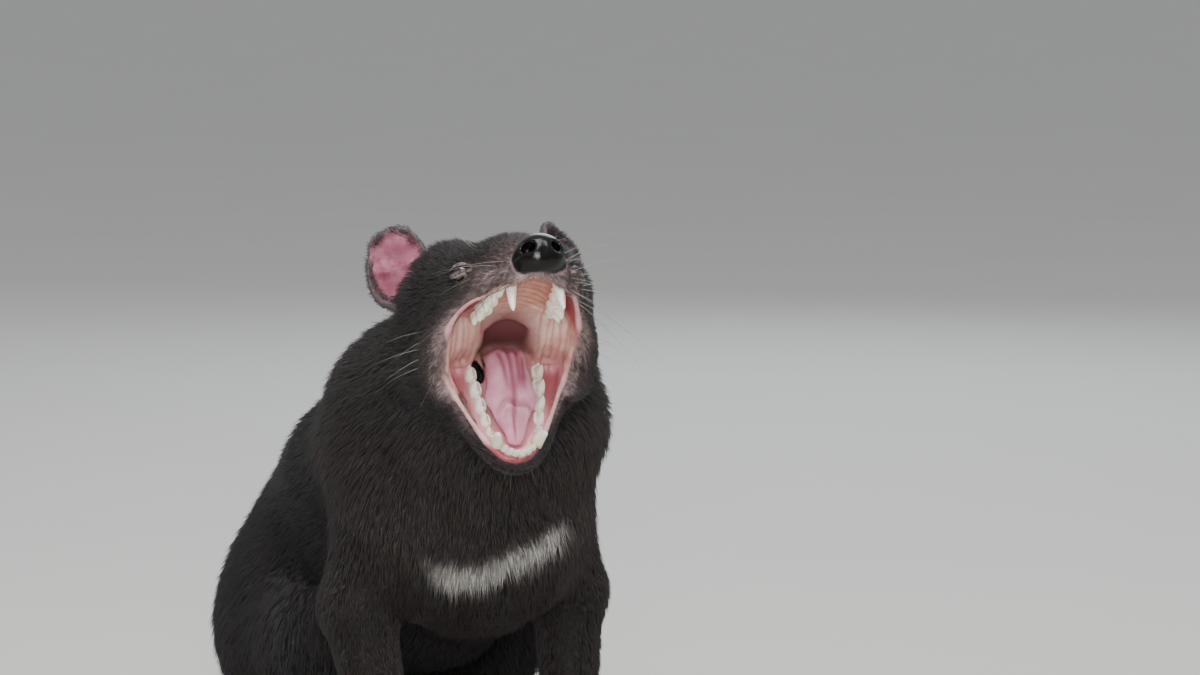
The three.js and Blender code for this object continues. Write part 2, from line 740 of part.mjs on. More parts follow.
function clawSolids(row, hand) {
  return toeBones(row).map(({ from, to }) => {
    const way = new THREE.Vector3(to[0] - from[0], to[1] - from[1], 0).normalize();
    const root = [to[0] * hand, to[1], to[2] + claw.rise];
    const tip = [
      (to[0] + way.x * claw.length) * hand,
      to[1] + way.y * claw.length,
      Math.max(1, to[2] - claw.drop)
    ];
    return spikeSolid(root, tip, claw.radius, -1.6, 0.7, 6, null);
  });
}

// The animal is parted into its named bodies with this gap on each side of a cut.

const half = seam / 2;
const neckPlane = { normal: [0.98, 0, 0.2], reach: -34 }; // in the head frame
const torsoPlane = { normal: [0, -0.76, 0.65], through: [0, 12, 240] };
const jawBox = { low: [2, -far, -37], high: [far, far, -1.5] }; // in the frame of the open jaw
const noseBox = { low: [94.5, -60, -7], high: [130, 60, 60] }; // in the head frame
const forelegBox = { low: [30, -100, 31], high: [160, 78, 118] };
const forefootBox = { low: [30, -100, -20], high: [160, 60, 31] };
const hindlegBox = { low: [46, 92, -20], high: [160, 320, 150] };
const hindfootBox = { low: [46, 30, -20], high: [160, 142, 27] };
const tailBox = { low: [-80, 274, -20], high: [200, 520, 70] };

function planeInWorld(plane) {
  const normal = new THREE.Vector3(...plane.normal).normalize();
  if (plane.through) return { normal, offset: normal.dot(new THREE.Vector3(...plane.through)) };
  const point = normal.clone().multiplyScalar(plane.reach).applyMatrix4(headFrame);
  const turned = normal.transformDirection(headFrame);
  return { normal: turned, offset: turned.dot(point) };
}

function keepAbove(solid, plane, inset) {
  return solid.trimByPlane(plane.normal.toArray(), plane.offset + inset);
}

function keepBelow(solid, plane, inset) {
  return solid.trimByPlane(plane.normal.clone().negate().toArray(), -(plane.offset - inset));
}

function mirrorBox({ low, high }, hand) {
  return hand > 0 ? { low, high } : { low: [-high[0], low[1], low[2]], high: [-low[0], high[1], high[2]] };
}

function inside(solid, box, frame = null) {
  return solid.intersect(boxSolid(box.low, box.high, -half, frame));
}

function outside(solid, box, frame = null) {
  return solid.subtract(boxSolid(box.low, box.high, half, frame));
}

function largest(solid) {
  const pieces = solid.decompose();
  return pieces.reduce((best, piece) => (piece.volume() > best.volume() ? piece : best));
}

const floorPlane = { normal: new THREE.Vector3(0, 0, 1), offset: 0 };
const neckCut = planeInWorld(neckPlane);
const torsoCut = planeInWorld(torsoPlane);

const bodyNet = keepAbove(skinOf(coatGap, [-136, -110, -16], [152, 486, 352], bodyStep), floorPlane, 0);
let headNet = skinOf(coatGap, [-104, -176, 178], [98, 14, 388], fineStep);
headNet = headNet.add(rollSolid(upperLip, lipThick, headFrame)).add(rollSolid(lowerLip, lipThick, jawFrame));
const parts = {};

let head = outside(keepAbove(headNet, neckCut, half), jawBox, jawFrame);
let jaw = inside(headNet, jawBox, jawFrame);
const noseNet = skinOf(noseGap, [-62, -172, 324], [24, -130, 384], noseStep);
parts.nose = largest(inside(noseNet, noseBox, headFrame));

for (const tooth of toothRow(upperTeeth, upperBase, -1, headFrame)) head = head.add(tooth);
for (const tooth of toothRow(lowerTeeth, lowerBase, 1, jawFrame)) jaw = jaw.add(tooth);
head = outside(head, noseBox, headFrame);
for (const hand of [-1, 1]) {
  for (const roll of lidSolids(hand, hand < 0 ? lid.gapRight : lid.gapLeft)) head = head.add(roll);
  head = head.subtract(eyeSolid(hand, seam));
}
parts.tongue = largest(keepBelow(tongueSolid(0), neckCut, -far));
head = head.subtract(tongueSolid(seam));
jaw = jaw.subtract(tongueSolid(seam));
parts.ear_right = earSolid(ear.right, 0);
parts.ear_left = earSolid(ear.left, 0);
const earGaps = [earSolid(ear.right, seam), earSolid(ear.left, seam)];
for (const gap of earGaps) head = head.subtract(gap);
parts.head = largest(head);
parts.lower_jaw = largest(jaw);
parts.eye_right = eyeSolid(-1, 0);
parts.eye_left = eyeSolid(1, 0);

let neck = outside(keepBelow(keepAbove(bodyNet, torsoCut, half), neckCut, half), jawBox, jawFrame);
for (const gap of earGaps) neck = neck.subtract(gap);
parts.neck = largest(neck);

let torso = outside(keepBelow(bodyNet, torsoCut, half), tailBox);
for (const [side, hand] of [["right", -1], ["left", 1]]) {
  const boxes = [forelegBox, forefootBox, hindlegBox, hindfootBox].map((box) => mirrorBox(box, hand));
  const [foreleg, forefoot, hindleg, hindfoot] = boxes;
  for (const box of boxes) torso = outside(torso, box);
  const span = hand > 0 ? [24, 132] : [-132, -24];
  const frontPaw = skinOf(coatGap, [span[0], -66, -12], [span[1], 66, 44], footStep);
  const rearPaw = skinOf(coatGap, [span[0], 34, -12], [span[1], 158, 44], footStep);
  const frontNet = keepAbove(frontPaw, floorPlane, 0);
  const rearNet = keepAbove(rearPaw, floorPlane, 0);
  let front = inside(frontNet, forefoot);
  for (const nail of clawSolids(fingers, hand)) front = front.add(nail);
  let rear = inside(rearNet, hindfoot);
  for (const nail of clawSolids(toes, hand)) rear = rear.add(nail);
  parts["foreleg_" + side] = largest(inside(bodyNet, foreleg));
  parts["forefoot_" + side] = largest(front);
  parts["hindleg_" + side] = largest(outside(inside(bodyNet, hindleg), hindfoot));
  parts["hindfoot_" + side] = largest(rear);
}
parts.torso = largest(torso);
parts.tail = largest(inside(keepAbove(tailSolid(), floorPlane, 0), tailBox));

const colours = {
  fur: "#1b1b1f",
  skin: "#3a3235",
  nose: "#17120f",
  mouth: "#c98f97",
  ear: "#8f5f6e",
  eye: "#0c0a0a"
};
const paint = {
  nose: colours.nose,
  tongue: colours.mouth,
  ear_right: colours.ear,
  ear_left: colours.ear,
  eye_right: colours.eye,
  eye_left: colours.eye,
  head: colours.skin,
  lower_jaw: colours.skin
};

const devil = new THREE.Group();
devil.name = "tasmanian_devil";
for (const [name, solid] of Object.entries(parts)) {
  const { vertProperties, triVerts } = solid.getMesh();
  const geometry = new THREE.BufferGeometry();
  geometry.setAttribute("position", new THREE.BufferAttribute(new Float32Array(vertProperties), 3));
  geometry.setIndex(new THREE.BufferAttribute(new Uint32Array(triVerts), 1));
  geometry.computeVertexNormals();
  const material = new THREE.MeshStandardMaterial({ color: paint[name] ?? colours.fur, roughness: 0.8 });
  const mesh = new THREE.Mesh(geometry, material);
  mesh.name = name;
  devil.add(mesh);
}

// The origin lies on the floor under the middle of the whole body.
const bounds = new THREE.Box3().setFromObject(devil);
const middle = bounds.getCenter(new THREE.Vector3());
for (const mesh of devil.children) mesh.geometry.translate(-middle.x, -middle.y, -bounds.min.z);

export default devil;
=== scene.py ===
import bpy
import math
import numpy as np
from mathutils import Matrix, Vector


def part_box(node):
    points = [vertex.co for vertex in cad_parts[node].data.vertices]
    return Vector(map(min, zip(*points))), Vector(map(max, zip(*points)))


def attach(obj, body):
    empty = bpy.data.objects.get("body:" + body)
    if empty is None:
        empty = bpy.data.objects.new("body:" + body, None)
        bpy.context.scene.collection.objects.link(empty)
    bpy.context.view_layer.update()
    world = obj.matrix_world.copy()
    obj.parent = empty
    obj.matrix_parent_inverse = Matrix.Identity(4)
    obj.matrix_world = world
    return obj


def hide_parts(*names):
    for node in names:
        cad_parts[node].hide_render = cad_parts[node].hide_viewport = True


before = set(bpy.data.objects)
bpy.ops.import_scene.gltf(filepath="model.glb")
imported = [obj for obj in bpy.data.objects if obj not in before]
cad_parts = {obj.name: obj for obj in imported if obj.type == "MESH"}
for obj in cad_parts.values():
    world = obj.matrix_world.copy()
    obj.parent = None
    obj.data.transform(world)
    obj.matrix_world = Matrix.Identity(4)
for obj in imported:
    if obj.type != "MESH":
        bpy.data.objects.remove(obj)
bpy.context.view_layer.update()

# Lengths here are millimetres in the body's own axes: +Z up, the animal faces -Y, its right is -X.
# Head coordinates are forward, left, up from midway between the jaw joints.
pose = {"joint": (-6, -56, 300), "turn": -9.0, "raise": 28.7, "gape": 80.5}
eyeShape = {"right": (47.5, -35, 14.5), "left": (47.5, 36.5, 10), "radius": 6.2}

joint = np.array(pose["joint"], float)
turn, lift, gape = (math.radians(pose[k]) for k in ("turn", "raise", "gape"))
ahead = np.array([math.sin(turn) * math.cos(lift), -math.cos(turn) * math.cos(lift), math.sin(lift)])
leftward = np.array([math.cos(turn), math.sin(turn), 0])
headAxes = np.array([ahead, leftward, np.cross(ahead, leftward)])


def toHead(p):  # offset from the joint, measured along the head's three axes
    return (p - joint) @ headAxes.T


def fromHead(q):
    return joint + q @ headAxes


def toJaw(q):  # head coordinates turned by the gape about the left axis
    f, l, u = q[..., 0], q[..., 1], q[..., 2]
    return np.stack([f * math.cos(gape) - u * math.sin(gape), l, f * math.sin(gape) + u * math.cos(gape)], -1)


def fromJaw(j):
    f, l, u = j[..., 0], j[..., 1], j[..., 2]
    q = np.stack([f * math.cos(gape) + u * math.sin(gape), l, u * math.cos(gape) - f * math.sin(gape)], -1)
    return fromHead(q)


# The solids' own place tells how far the frame is moved from these axes.
eyeBox = np.array(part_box("eye_right"))
shift = eyeBox.mean(axis=0) * 1000 - fromHead(np.array(eyeShape["right"], float))
print("frame shift, mm:", np.round(shift, 3).tolist())


def inMetres(p):
    return (p + shift) / 1000


def unit(v):
    return v / np.maximum(np.linalg.norm(v, axis=-1, keepdims=True), 1e-9)


def bell(v, width):  # 1 at zero, falling away on both sides
    return np.exp(-((v / width) ** 2))


def ease(low, high, v):  # smooth step from 0 at low to 1 at high
    t = np.clip((v - low) / (high - low), 0, 1)
    return t * t * (3 - 2 * t)


# Camera, at the photograph's angle and framing.
cameraLook = {"azimuth": -25.0, "elevation": 6.0, "right": 61.9, "up": -9.7, "distance": 2548, "lens": 120}


def placeCamera(look):
    a, e = math.radians(look["azimuth"]), math.radians(look["elevation"])
    right = np.array([math.cos(a), math.sin(a), 0])
    back = np.array([math.sin(a) * math.cos(e), -math.cos(a) * math.cos(e), math.sin(e)])
    over = np.cross(back, right)
    aim = joint + look["right"] * right + look["up"] * over
    spot = inMetres(aim + look["distance"] * back)
    data = bpy.data.cameras.new("camera")
    data.lens, data.sensor_width, data.clip_start = look["lens"], 36, 0.05
    camera = bpy.data.objects.new("camera", data)
    bpy.context.collection.objects.link(camera)
    camera.matrix_world = Matrix(np.vstack([np.stack([right, over, back, spot], 1), (0, 0, 0, 1)]))
    bpy.context.scene.camera = camera


placeCamera(cameraLook)


def linear(rgb):  # display colour 0-255 to linear light
    return tuple((c / 255 / 12.92 if c <= 10 else ((c / 255 + 0.055) / 1.055) ** 2.4) for c in rgb) + (1,)


def makePiece(name, points, faces, materials, values=None, patches=None, slots=None):
    # A closed smooth mesh from arrays: points in millimetres, faces of one size, values for each point.
    faces = np.asarray(faces, np.int32)
    mesh = bpy.data.meshes.new(name)
    mesh.vertices.add(len(points))
    mesh.vertices.foreach_set("co", inMetres(points).astype(np.float32).ravel())
    mesh.loops.add(faces.size)
    mesh.loops.foreach_set("vertex_index", faces.ravel())
    mesh.polygons.add(len(faces))
    mesh.polygons.foreach_set("loop_start", np.arange(0, faces.size, faces.shape[1], dtype=np.int32))
    mesh.polygons.foreach_set("use_smooth", np.ones(len(faces), bool))
    for key, value in (values or {}).items():
        layer = mesh.attributes.new(key, "FLOAT", "POINT")
        layer.data.foreach_set("value", np.asarray(value, np.float32))
    if patches is not None:
        layer = mesh.uv_layers.new(name="OFBake")
        layer.data.foreach_set("uv", patches[faces.ravel()].astype(np.float32).ravel())
    for material in materials:
        mesh.materials.append(material)
    if slots is not None:
        mesh.polygons.foreach_set("material_index", slots.astype(np.int32))
    mesh.update(calc_edges=True)
    piece = bpy.data.objects.new(name, mesh)
    bpy.context.collection.objects.link(piece)
    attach(piece, "root")
    return piece


# Distances to the forms of the body, below zero inside, for whole arrays of points.
def ellipsoidGap(x, y, z, at, half):
    a, b, c = (x - at[0]) / half[0], (y - at[1]) / half[1], (z - at[2]) / half[2]
    reach = np.sqrt(a * a + b * b + c * c)
    slope = np.sqrt((a / half[0]) ** 2 + (b / half[1]) ** 2 + (c / half[2]) ** 2)
    return reach * (reach - 1) / np.maximum(slope, 1e-6)


def boneGap(x, y, z, start, end, radii):
    b = np.subtract(end, start)
    px, py, pz = x - start[0], y - start[1], z - start[2]
    t = np.clip((px * b[0] + py * b[1] + pz * b[2]) / (b @ b), 0, 1)
    away = np.sqrt((px - b[0] * t) ** 2 + (py - b[1] * t) ** 2 + (pz - b[2] * t) ** 2)
    return away - radii[0] - (radii[1] - radii[0]) * t


def join(a, b, blend):  # the lesser of two distances, rounded where they meet
    near = np.maximum(blend - np.abs(a - b), 0) / blend
    return np.minimum(a, b) - near * near * blend * 0.25


def carve(a, hollow, blend):
    return -join(-a, hollow, blend)


def pathGap(p, line, radii):  # nearest distance to a line of points whose radius changes along it
    gap = np.full(len(p), 60.0)
    low, high = line.min(axis=0) - 14, line.max(axis=0) + 14
    near = np.flatnonzero(((p > low) & (p < high)).all(axis=1))
    best = gap[near]
    for i in range(len(line) - 1):
        best = np.minimum(best, boneGap(*p[near].T, line[i], line[i + 1], radii[i : i + 2]))
    gap[near] = best
    return gap


def smoothLine(points, steps):  # a curve through the points, cubic between each pair
    p = np.asarray(points, float)
    p = np.vstack([2 * p[0] - p[1], p, 2 * p[-1] - p[-2]])
    t = np.linspace(0, len(p) - 3, steps)
    i = np.minimum(t.astype(int), len(p) - 4)
    s = (t - i)[:, None]
    a, b, c, d = p[i], p[i + 1], p[i + 2], p[i + 3]
    return 0.5 * (2 * b + (c - a) * s + (2 * a - 5 * b + 4 * c - d) * s**2 + (3 * b - a - 3 * c + d) * s**3)


# Body forms as centre or ends [side, back, up], half sizes or radii, blend, and the lie of the coat on them.
trunkForms = {
    "chest": ((0, 4, 160), (79, 57, 74), 1, (0, -0.1, -1)),
    "shoulders": ((0, 36, 208), (94, 74, 56), 34, (0, 0.5, -0.8)),
    "nape": ((0, -15, 266), (74, 52, 54), 34, (0, 0.7, -0.6)),
    "neckRoot": ((0, 34, 246), (85, 68, 57), 40, (0, 0.8, -0.6)),
    "throat": ((0, -28, 222), (58, 32, 52), 26, (0, 0.15, -1)),
    "barrel": ((0, 112, 174), (91, 98, 79), 40, (0, 0.85, -0.5)),
    "belly": ((0, 104, 112), (66, 88, 66), 30, (0, 0.7, -0.6)),
    "rump": ((0, 190, 112), (91, 88, 88), 42, (0, 0.6, -0.8)),
    "haunch": ((62, 198, 66), (46, 74, 70), 26, (0, 0.3, -0.9)),
    "knee": ((74, 128, 68), (30, 42, 45), 20, (0, -0.2, -1)),
}
leftRuff = ((47, -8, 226), (38, 42, 40), 26)  # the neck bulges away from the turned head
limbBones = {
    "upperArm": ((54, 24, 186), (75, 22, 110), (34, 27), 22),
    "forearm": ((75, 22, 110), (67, 3, 26), (26, 19), 10),
    "palm": ((67, 6, 12), (65, -20, 10), (19, 17), 10),
    "heel": ((82, 186, 16), (82, 128, 14), (19, 17), 12),
    "sole": ((82, 128, 14), (80, 88, 10), (17, 16), 10),
}
fingers = {
    "count": 5, "back": -22, "tip": -47, "side": 65, "rootGap": 7.6, "tipGap": 10.4, "thick": 6.4, "blend": 4,
}
toes = {
    "count": 4, "back": 86, "tip": 58, "side": 80, "rootGap": 8, "tipGap": 10.2, "thick": 6.6, "blend": 4,
}
fingerBend = 3.4
tailLine = [(0, 250, 34), (3, 292, 29), (14, 336, 24), (36, 380, 19.5), (68, 420, 15), (106, 452, 9)]
tailSink = 1.2


def toeBones(row):  # ends and radii of each toe of one foot, from the inner toe to the outer one
    place = np.arange(row["count"]) - (row["count"] - 1) / 2
    late = np.abs(place) * fingerBend
    made = []
    for p, l in zip(place, late):
        start = (row["side"] + p * row["rootGap"], row["back"] + l * 0.4, row["thick"] + 2)
        end = (row["side"] + p * row["tipGap"], row["tip"] + l, row["thick"] - 0.8)
        made.append((start, end, (row["thick"] + 0.6, row["thick"]), row["blend"]))
    return made


pawBones = toeBones(fingers) + toeBones(toes)
tailBones = [
    ((a[0], a[1], a[2] - tailSink), (b[0], b[1], b[2] - tailSink), (a[2], b[2]), 4)
    for a, b in zip(tailLine, tailLine[1:])
]

# Head forms in head coordinates, and lower jaw forms in the same axes as they lie when the mouth is shut.
skullForms = {
    "cranium": ((0, 0, 8), (50, 50, 36), 1),
    "temple": ((12, 27, 22), (32, 24, 22), 14),
    "brow": ((36, 0, 12), (34, 32, 23), 18),
    "cheekbone": ((4, 34, -4), (38, 21, 28), 14),
    "chops": ((0, 43, -24), (27, 16, 30), 12),
    "crown": ((-6, 29, 29), (29, 24, 27), 16),
    "earBase": ((-14, 46, 18), (22, 19, 26), 12),
    "lipFill": ((44, 26, -1), (34, 14, 14), 12),
    "whiskerPad": ((77, 11.5, -4), (19, 12, 13), 9),
    "noseEnd": ((95.5, 0, 1.8), (11, 14, 13), 5),
}
snoutBridge = ((46, 0, 15), (90, 0, 5), (22, 10.5), 14)
jawForms = {
    "chin": ((84, 0, -19), (15, 15, 10), 12),
    "jawFront": ((74, 0, -20), (22, 24, 12), 12),
    "jawMiddle": ((50, 0, -21), (36, 37, 15), 14),
    "jawRear": ((22, 0, -25), (36, 47, 20), 16),
}
mouth = {
    "upperLip": [
        (7, 42.5, -28), (14, 43, -24), (26, 43, -19), (40, 40, -13), (56, 35, -11),
        (70, 28.5, -12), (84, 19.5, -13), (92.5, 9.5, -11.5), (95.5, 0, -8.5),
    ],
    "lowerLip": [
        (28, 42, -1), (36, 39.5, -5), (46, 35, -8), (58, 29.5, -10),
        (72, 22.8, -11.5), (84, 15.5, -12.5), (92, 8, -13), (94.2, 0, -13),
    ],
    "lipShift": -2,
    "jawShift": -3.4,
    "upperThick": (1.6, 1.5, 1.4, 1.3, 1.1, 1.0, 0.9, 0.9, 0.9),
    "lowerThick": (1.6, 1.6, 1.5, 1.4, 1.4, 1.5, 1.7, 1.8),
    "upperGum": [
        (18, 24, -1), (28, 25, -3.6), (40, 24.6, -3.4), (56, 22.6, -3.4),
        (70, 20, -4), (82, 15.5, -5.5), (89, 10, -5.5), (93, 0, -4.5),
    ],
    "lowerGum": [
        (16, 21.5, -22), (27, 22.5, -17.5), (40, 21.6, -17), (56, 19, -17),
        (70, 16.2, -16.5), (82, 11.8, -15.5), (88, 7.2, -14.5), (90.6, 0, -14),
    ],
    "gumThick": 3.2,
    "floor": -15,
}
palate = {
    "height": -4, "arch": 3, "archWidth": 20, "rearDrop": 10, "rearStart": 26, "rearEnd": -8,
    "ridge": 0.7, "pitch": 6.4,
}
cheekWall = {
    "throatWidth": 14.5, "cornerWidth": 42, "throatEnd": 14, "corner": 28, "flare": 4,
    "pleat": 0.7, "pleatPitch": 5.6,
}
gullet = {"start": (10, -13), "end": (-36, -24), "half": (12.6, 9.5), "narrow": 3}
nostril = {
    "at": (103.0, 8.8, 6.4), "half": (7.5, 3.9, 3.7), "slit": ((100, 12.6, 4.6), (94, 17.5, 2.0), (1.5, 1.0)),
}
noseGroove = ((108.2, 0, 9), (106.2, 0, -9), (1.0, 1.2))
noseLean = 2.6  # how far the nose stands to the left of the skull's middle


def mirrored(line, thick, shift):  # a line for the left side carried over to the right, with its thickness
    p = np.asarray(line, float)
    left, right = p[::-1].copy(), p.copy()
    right[:, 1] *= -1
    whole = np.vstack([right, left[1:]]) + (0, shift, 0)
    t = np.concatenate([thick, thick[::-1][1:]])
    fine = 5 * len(line)
    return smoothLine(whole, fine), np.interp(np.linspace(0, len(t) - 1, fine), np.arange(len(t)), t)


upperLip = mirrored(mouth["upperLip"], mouth["upperThick"], mouth["lipShift"])
lowerLip = mirrored(mouth["lowerLip"], mouth["lowerThick"], mouth["jawShift"])
upperGum = mirrored(mouth["upperGum"], [mouth["gumThick"]] * 8, mouth["lipShift"] * 0.5)
lowerGum = mirrored(mouth["lowerGum"], [mouth["gumThick"]] * 8, mouth["jawShift"] * 0.6)


def trunkGap(p):
    x, y, z = p.T
    side = np.abs(x)
    gap = np.full(len(p), 900.0)
    for at, half, blend, lie in trunkForms.values():
        gap = join(gap, ellipsoidGap(side, y, z, at, half), blend)
    for start, end, radii, blend in [*limbBones.values(), *pawBones]:
        gap = join(gap, boneGap(side, y, z, start, end, radii), blend)
    gap = join(gap, ellipsoidGap(x, y, z, leftRuff[0], leftRuff[1]), leftRuff[2])
    tail = np.full(len(p), 900.0)
    for start, end, radii, blend in tailBones:
        tail = join(tail, boneGap(x, y, z, start, end, radii), blend)
    return join(gap, tail, 16)


def lipAt(f, name):  # side and height of a lip's line at each forward place, and the line's front end
    line = np.asarray(mouth[name])
    return np.interp(f, line[:, 0], line[:, 1]), np.interp(f, line[:, 0], line[:, 2]), line[-1, 0]


def palateHeight(f, side):
    # Arched roof that sinks to the throat, comes down to the lip and has cross ridges.
    lipSide, lipUp, front = lipAt(f, "upperLip")
    vault = palate["arch"] * np.maximum(0, 1 - (side / palate["archWidth"]) ** 2)
    rear = 1 - ease(palate["rearEnd"], palate["rearStart"], f)
    inward = ease(1, 8, np.minimum(lipSide - side, front - f))
    ridge = palate["ridge"] * np.sin(2 * np.pi * (f + side * side * 0.022) / palate["pitch"])
    ridge = ridge * ease(26, 34, f) * ease(90, 84, f) * ease(20, 14, side)
    return lipUp + (palate["height"] + vault - palate["rearDrop"] * rear - ridge - lipUp) * inward


def floorHeight(f, side):  # floor of the mouth, which comes up to the lower lip at its edge
    lipSide, lipUp, front = lipAt(f, "lowerLip")
    inward = ease(1, 8, np.minimum(lipSide - side, front - f))
    return lipUp + (mouth["floor"] - lipUp) * inward


def gulletGap(f, side, u):  # a rounded square tube that slopes down and narrows to the rear
    (f0, u0), (f1, u1) = gullet["start"], gullet["end"]
    t = np.clip((f0 - f) / (f0 - f1), 0, 1)
    wide, tall = (h - gullet["narrow"] * t for h in gullet["half"])
    rise = u - u0 - (u1 - u0) * t
    reach = ((side / wide) ** 4 + (rise / tall) ** 4) ** 0.25
    return np.maximum.reduce([(reach - 1) * tall, f - f0, f1 - f])


def mouthHollow(q, j):
    f, l, u = q.T
    side, reach = np.abs(l - mouth["lipShift"] * 0.7), np.hypot(f, u)
    past = reach > cheekWall["corner"]
    wide = cheekWall["cornerWidth"] - cheekWall["throatWidth"]
    wall = cheekWall["throatWidth"] + wide * ease(cheekWall["throatEnd"], cheekWall["corner"], reach)
    wall = wall + np.maximum(0, reach - cheekWall["corner"]) * cheekWall["flare"]
    slant = np.arctan2(-u, f)
    pleat = np.sin(side * 2 * np.pi / cheekWall["pleatPitch"] + 1.6 * np.sin(2.2 * slant + side * 0.1))
    pleat = cheekWall["pleat"] * pleat * ease(18, 23, side) * ease(41, 36, side)
    pleat = pleat * ease(12, 20, reach) * ease(36, 30, reach)
    wallGap = (side - wall) / np.where(past, math.hypot(1, cheekWall["flare"]), 1.3) + pleat
    gap = -join(palateHeight(f, side) - u, j[:, 2] - floorHeight(j[:, 0], side), 8)
    gap = -join(-gap, -wallGap, 14)
    return join(gap, gulletGap(f, side, u), 6)


# Ears: leaves in head coordinates, by root, tip and facing.
ears = {
    "thick": 3.9, "height": 60, "width": 20.5, "cup": 11,
    "right": ((-16, -67, 20), (-19, -54, 82), (1, -0.25, -0.1)),
    "left": ((-18, 48, 20), (-23, 50, 79), (0.75, 0.6, -0.1)),
}


def earPlace(q, hand):  # across and along as shares of the leaf's half width and height, and out of it
    root, tip, facing = (np.array(v, float) for v in ears[hand])
    up = unit(tip - root)
    side = unit(np.cross(up, facing))
    front = np.cross(side, up)
    d = q - root - up * ears["height"] / 2
    v = d @ up / (ears["height"] / 2)
    inner = -1 if hand == "left" else 1
    h = d @ side / ears["width"] / np.where(v < 0, 0.94, 1 - 0.1 * np.clip(v, 0, 1)) * inner
    return h, v, d @ front


def lobe(h, v, along, tall, wide):  # a soft round patch on the leaf's middle line
    return np.exp(-(((v - along) / tall) ** 2) - (h / wide) ** 2)


def earBowl(h, v):  # how far the leaf's middle surface stands out of its plane
    return ears["cup"] * (h * h - 0.55) * (1 - 0.3 * np.clip(v, 0, 1))


def earGap(q, hand):
    # A thin sheet over a bowl; its front has a ridge between two hollows and a raised rim with a notch.
    h, v, out = earPlace(q, hand)
    reach = np.hypot(h, v)
    angle = np.arctan2(h, v)
    edge = 1 + 0.02 * np.sin(5 * angle + 1) - 0.13 * bell(angle + 1.45, 0.2)
    bowl = earBowl(h, v)
    ridge = 2.0 * bell(v + 0.05 - 0.35 * h, 0.13) * ease(0.95, 0.6, reach)
    hollows = 0.8 * lobe(h, v, 0.4, 0.28, 0.5) + lobe(h, v, -0.5, 0.26, 0.45)
    rim = 1.3 * bell(reach / edge - 0.9, 0.07)
    half = ears["thick"] / 2
    steep = np.sqrt(1 + (2 * ears["cup"] * np.clip(h, -1, 1) / ears["width"]) ** 2)
    front = (out - bowl - half - ridge + hollows - rim) / steep
    back = (bowl - half - out) / steep
    return -join(join(-front, -back, 0.6), (edge - reach) * ears["width"], 1.6)


# How deep the skin lies under the tips of the coat.
coatDepth = {
    "body": 6.5, "leg": 4.2, "foot": 1.8, "tail": 5.0, "cheek": 4.2, "brow": 2.6, "snout": 1.2,
    "nose": -0.6, "ear": 3.0,
}


def depthAt(p, q, j, nearLip):
    x, y, z = p.T
    f = q[:, 0]
    depth = np.full(len(p), coatDepth["body"])
    leg = ease(150, 112, z) * ease(74, 54, y) * ease(30, 44, np.abs(x))
    depth = depth + (coatDepth["leg"] - depth) * leg
    fore = ease(44, 26, z) * ease(60, 44, y)
    hind = ease(40, 24, z) * ease(206, 186, y) * ease(60, 72, np.abs(x))
    depth = depth + (coatDepth["foot"] - depth) * np.maximum(fore, hind)
    depth = depth + (coatDepth["tail"] - depth) * ease(262, 330, y)
    onHead = ease(-52, -30, q[:, 2] + f * 0.2) * ease(-44, -8, f)
    steps = [coatDepth[k] for k in ("body", "cheek", "brow", "brow", "snout", "nose")]
    head = np.interp(f, [-30, 4, 36, 56, 84, 94], steps)
    depth = depth + (head - depth) * onHead
    onJaw = ease(4, 30, j[:, 0]) * ease(-46, -30, j[:, 2])
    depth = depth + (2.6 - depth) * onJaw
    for hand in ("right", "left"):
        away = boneGap(*q.T, ears[hand][0], ears[hand][1], (0, 0))
        depth = depth + (coatDepth["ear"] - depth) * ease(40, 20, away)
    return 1.2 + (depth - 1.2) * ease(1, 12, nearLip)


lid = {"slitRight": 1.7, "slitLeft": 4.2, "ring": 6.4, "thick": 1.0, "long": 1.4, "join": 1.0}


def lidAxes(hand):  # outward, along the slit and over it
    outward = unit(np.array([0.62, hand * 0.78, 0.08]))
    along = unit(np.cross((0, 0, 1), outward))
    return outward, along, np.cross(outward, along)


def lidLines(hand):  # upper and lower lid as arcs over the eyeball, with a slit between them
    slit = lid["slitRight"] if hand < 0 else lid["slitLeft"]
    outward, along, over = lidAxes(hand)
    centre = np.array(eyeShape["right" if hand < 0 else "left"], float)
    sweep = (np.linspace(0, 1, 15) - 0.5) * np.pi * 0.94
    lines = []
    for rise in (1, -1):
        for ring in (0, 1):
            up = rise * (slit / 2 + lid["thick"] + 2.4 * ring) * np.cos(sweep) ** 0.8
            out = np.sqrt(np.maximum(0, (lid["ring"] - 0.3 * ring) ** 2 - up * up))
            line = centre + np.outer(np.cos(sweep) * out, outward)
            line = line + np.outer(np.sin(sweep) * out * lid["long"], along) + np.outer(up, over)
            lines.append((line, lid["thick"] * (0.35 + 0.65 * np.cos(sweep))))
    return lines


eyeLids = {hand: lidLines(hand) for hand in (-1, 1)}


def faceParts(q, j):  # the separate distances that make the mouth, for the surface and for its colours
    return {
        "upperLip": pathGap(q, *upperLip),
        "lowerLip": pathGap(j, *lowerLip),
        "upperGum": pathGap(q, *upperGum),
        "lowerGum": pathGap(j, *lowerGum),
        "hollow": mouthHollow(q, j),
    }


# Hollow between the tongue and the right back teeth, in lower jaw coordinates; the skin over it is painted
# near black as shade.
tonguePit = ((27, -17.6, -15), (8, 3.4, 10))

# How far from the jaw joint each step of the head's work reaches.
headReach = {"shape": 190, "marks": 160, "coat": 165, "sparse": 130}


def closeToHead(q, step):
    return (q**2).sum(axis=1) < headReach[step] ** 2


def facePlaces(p):  # head and jaw coordinates, the mouth's distances and the distance to the nearer lip
    q = toHead(p)
    j = toJaw(q)
    parts = faceParts(q, j)
    return q, j, parts, np.minimum(parts["upperLip"], parts["lowerLip"])


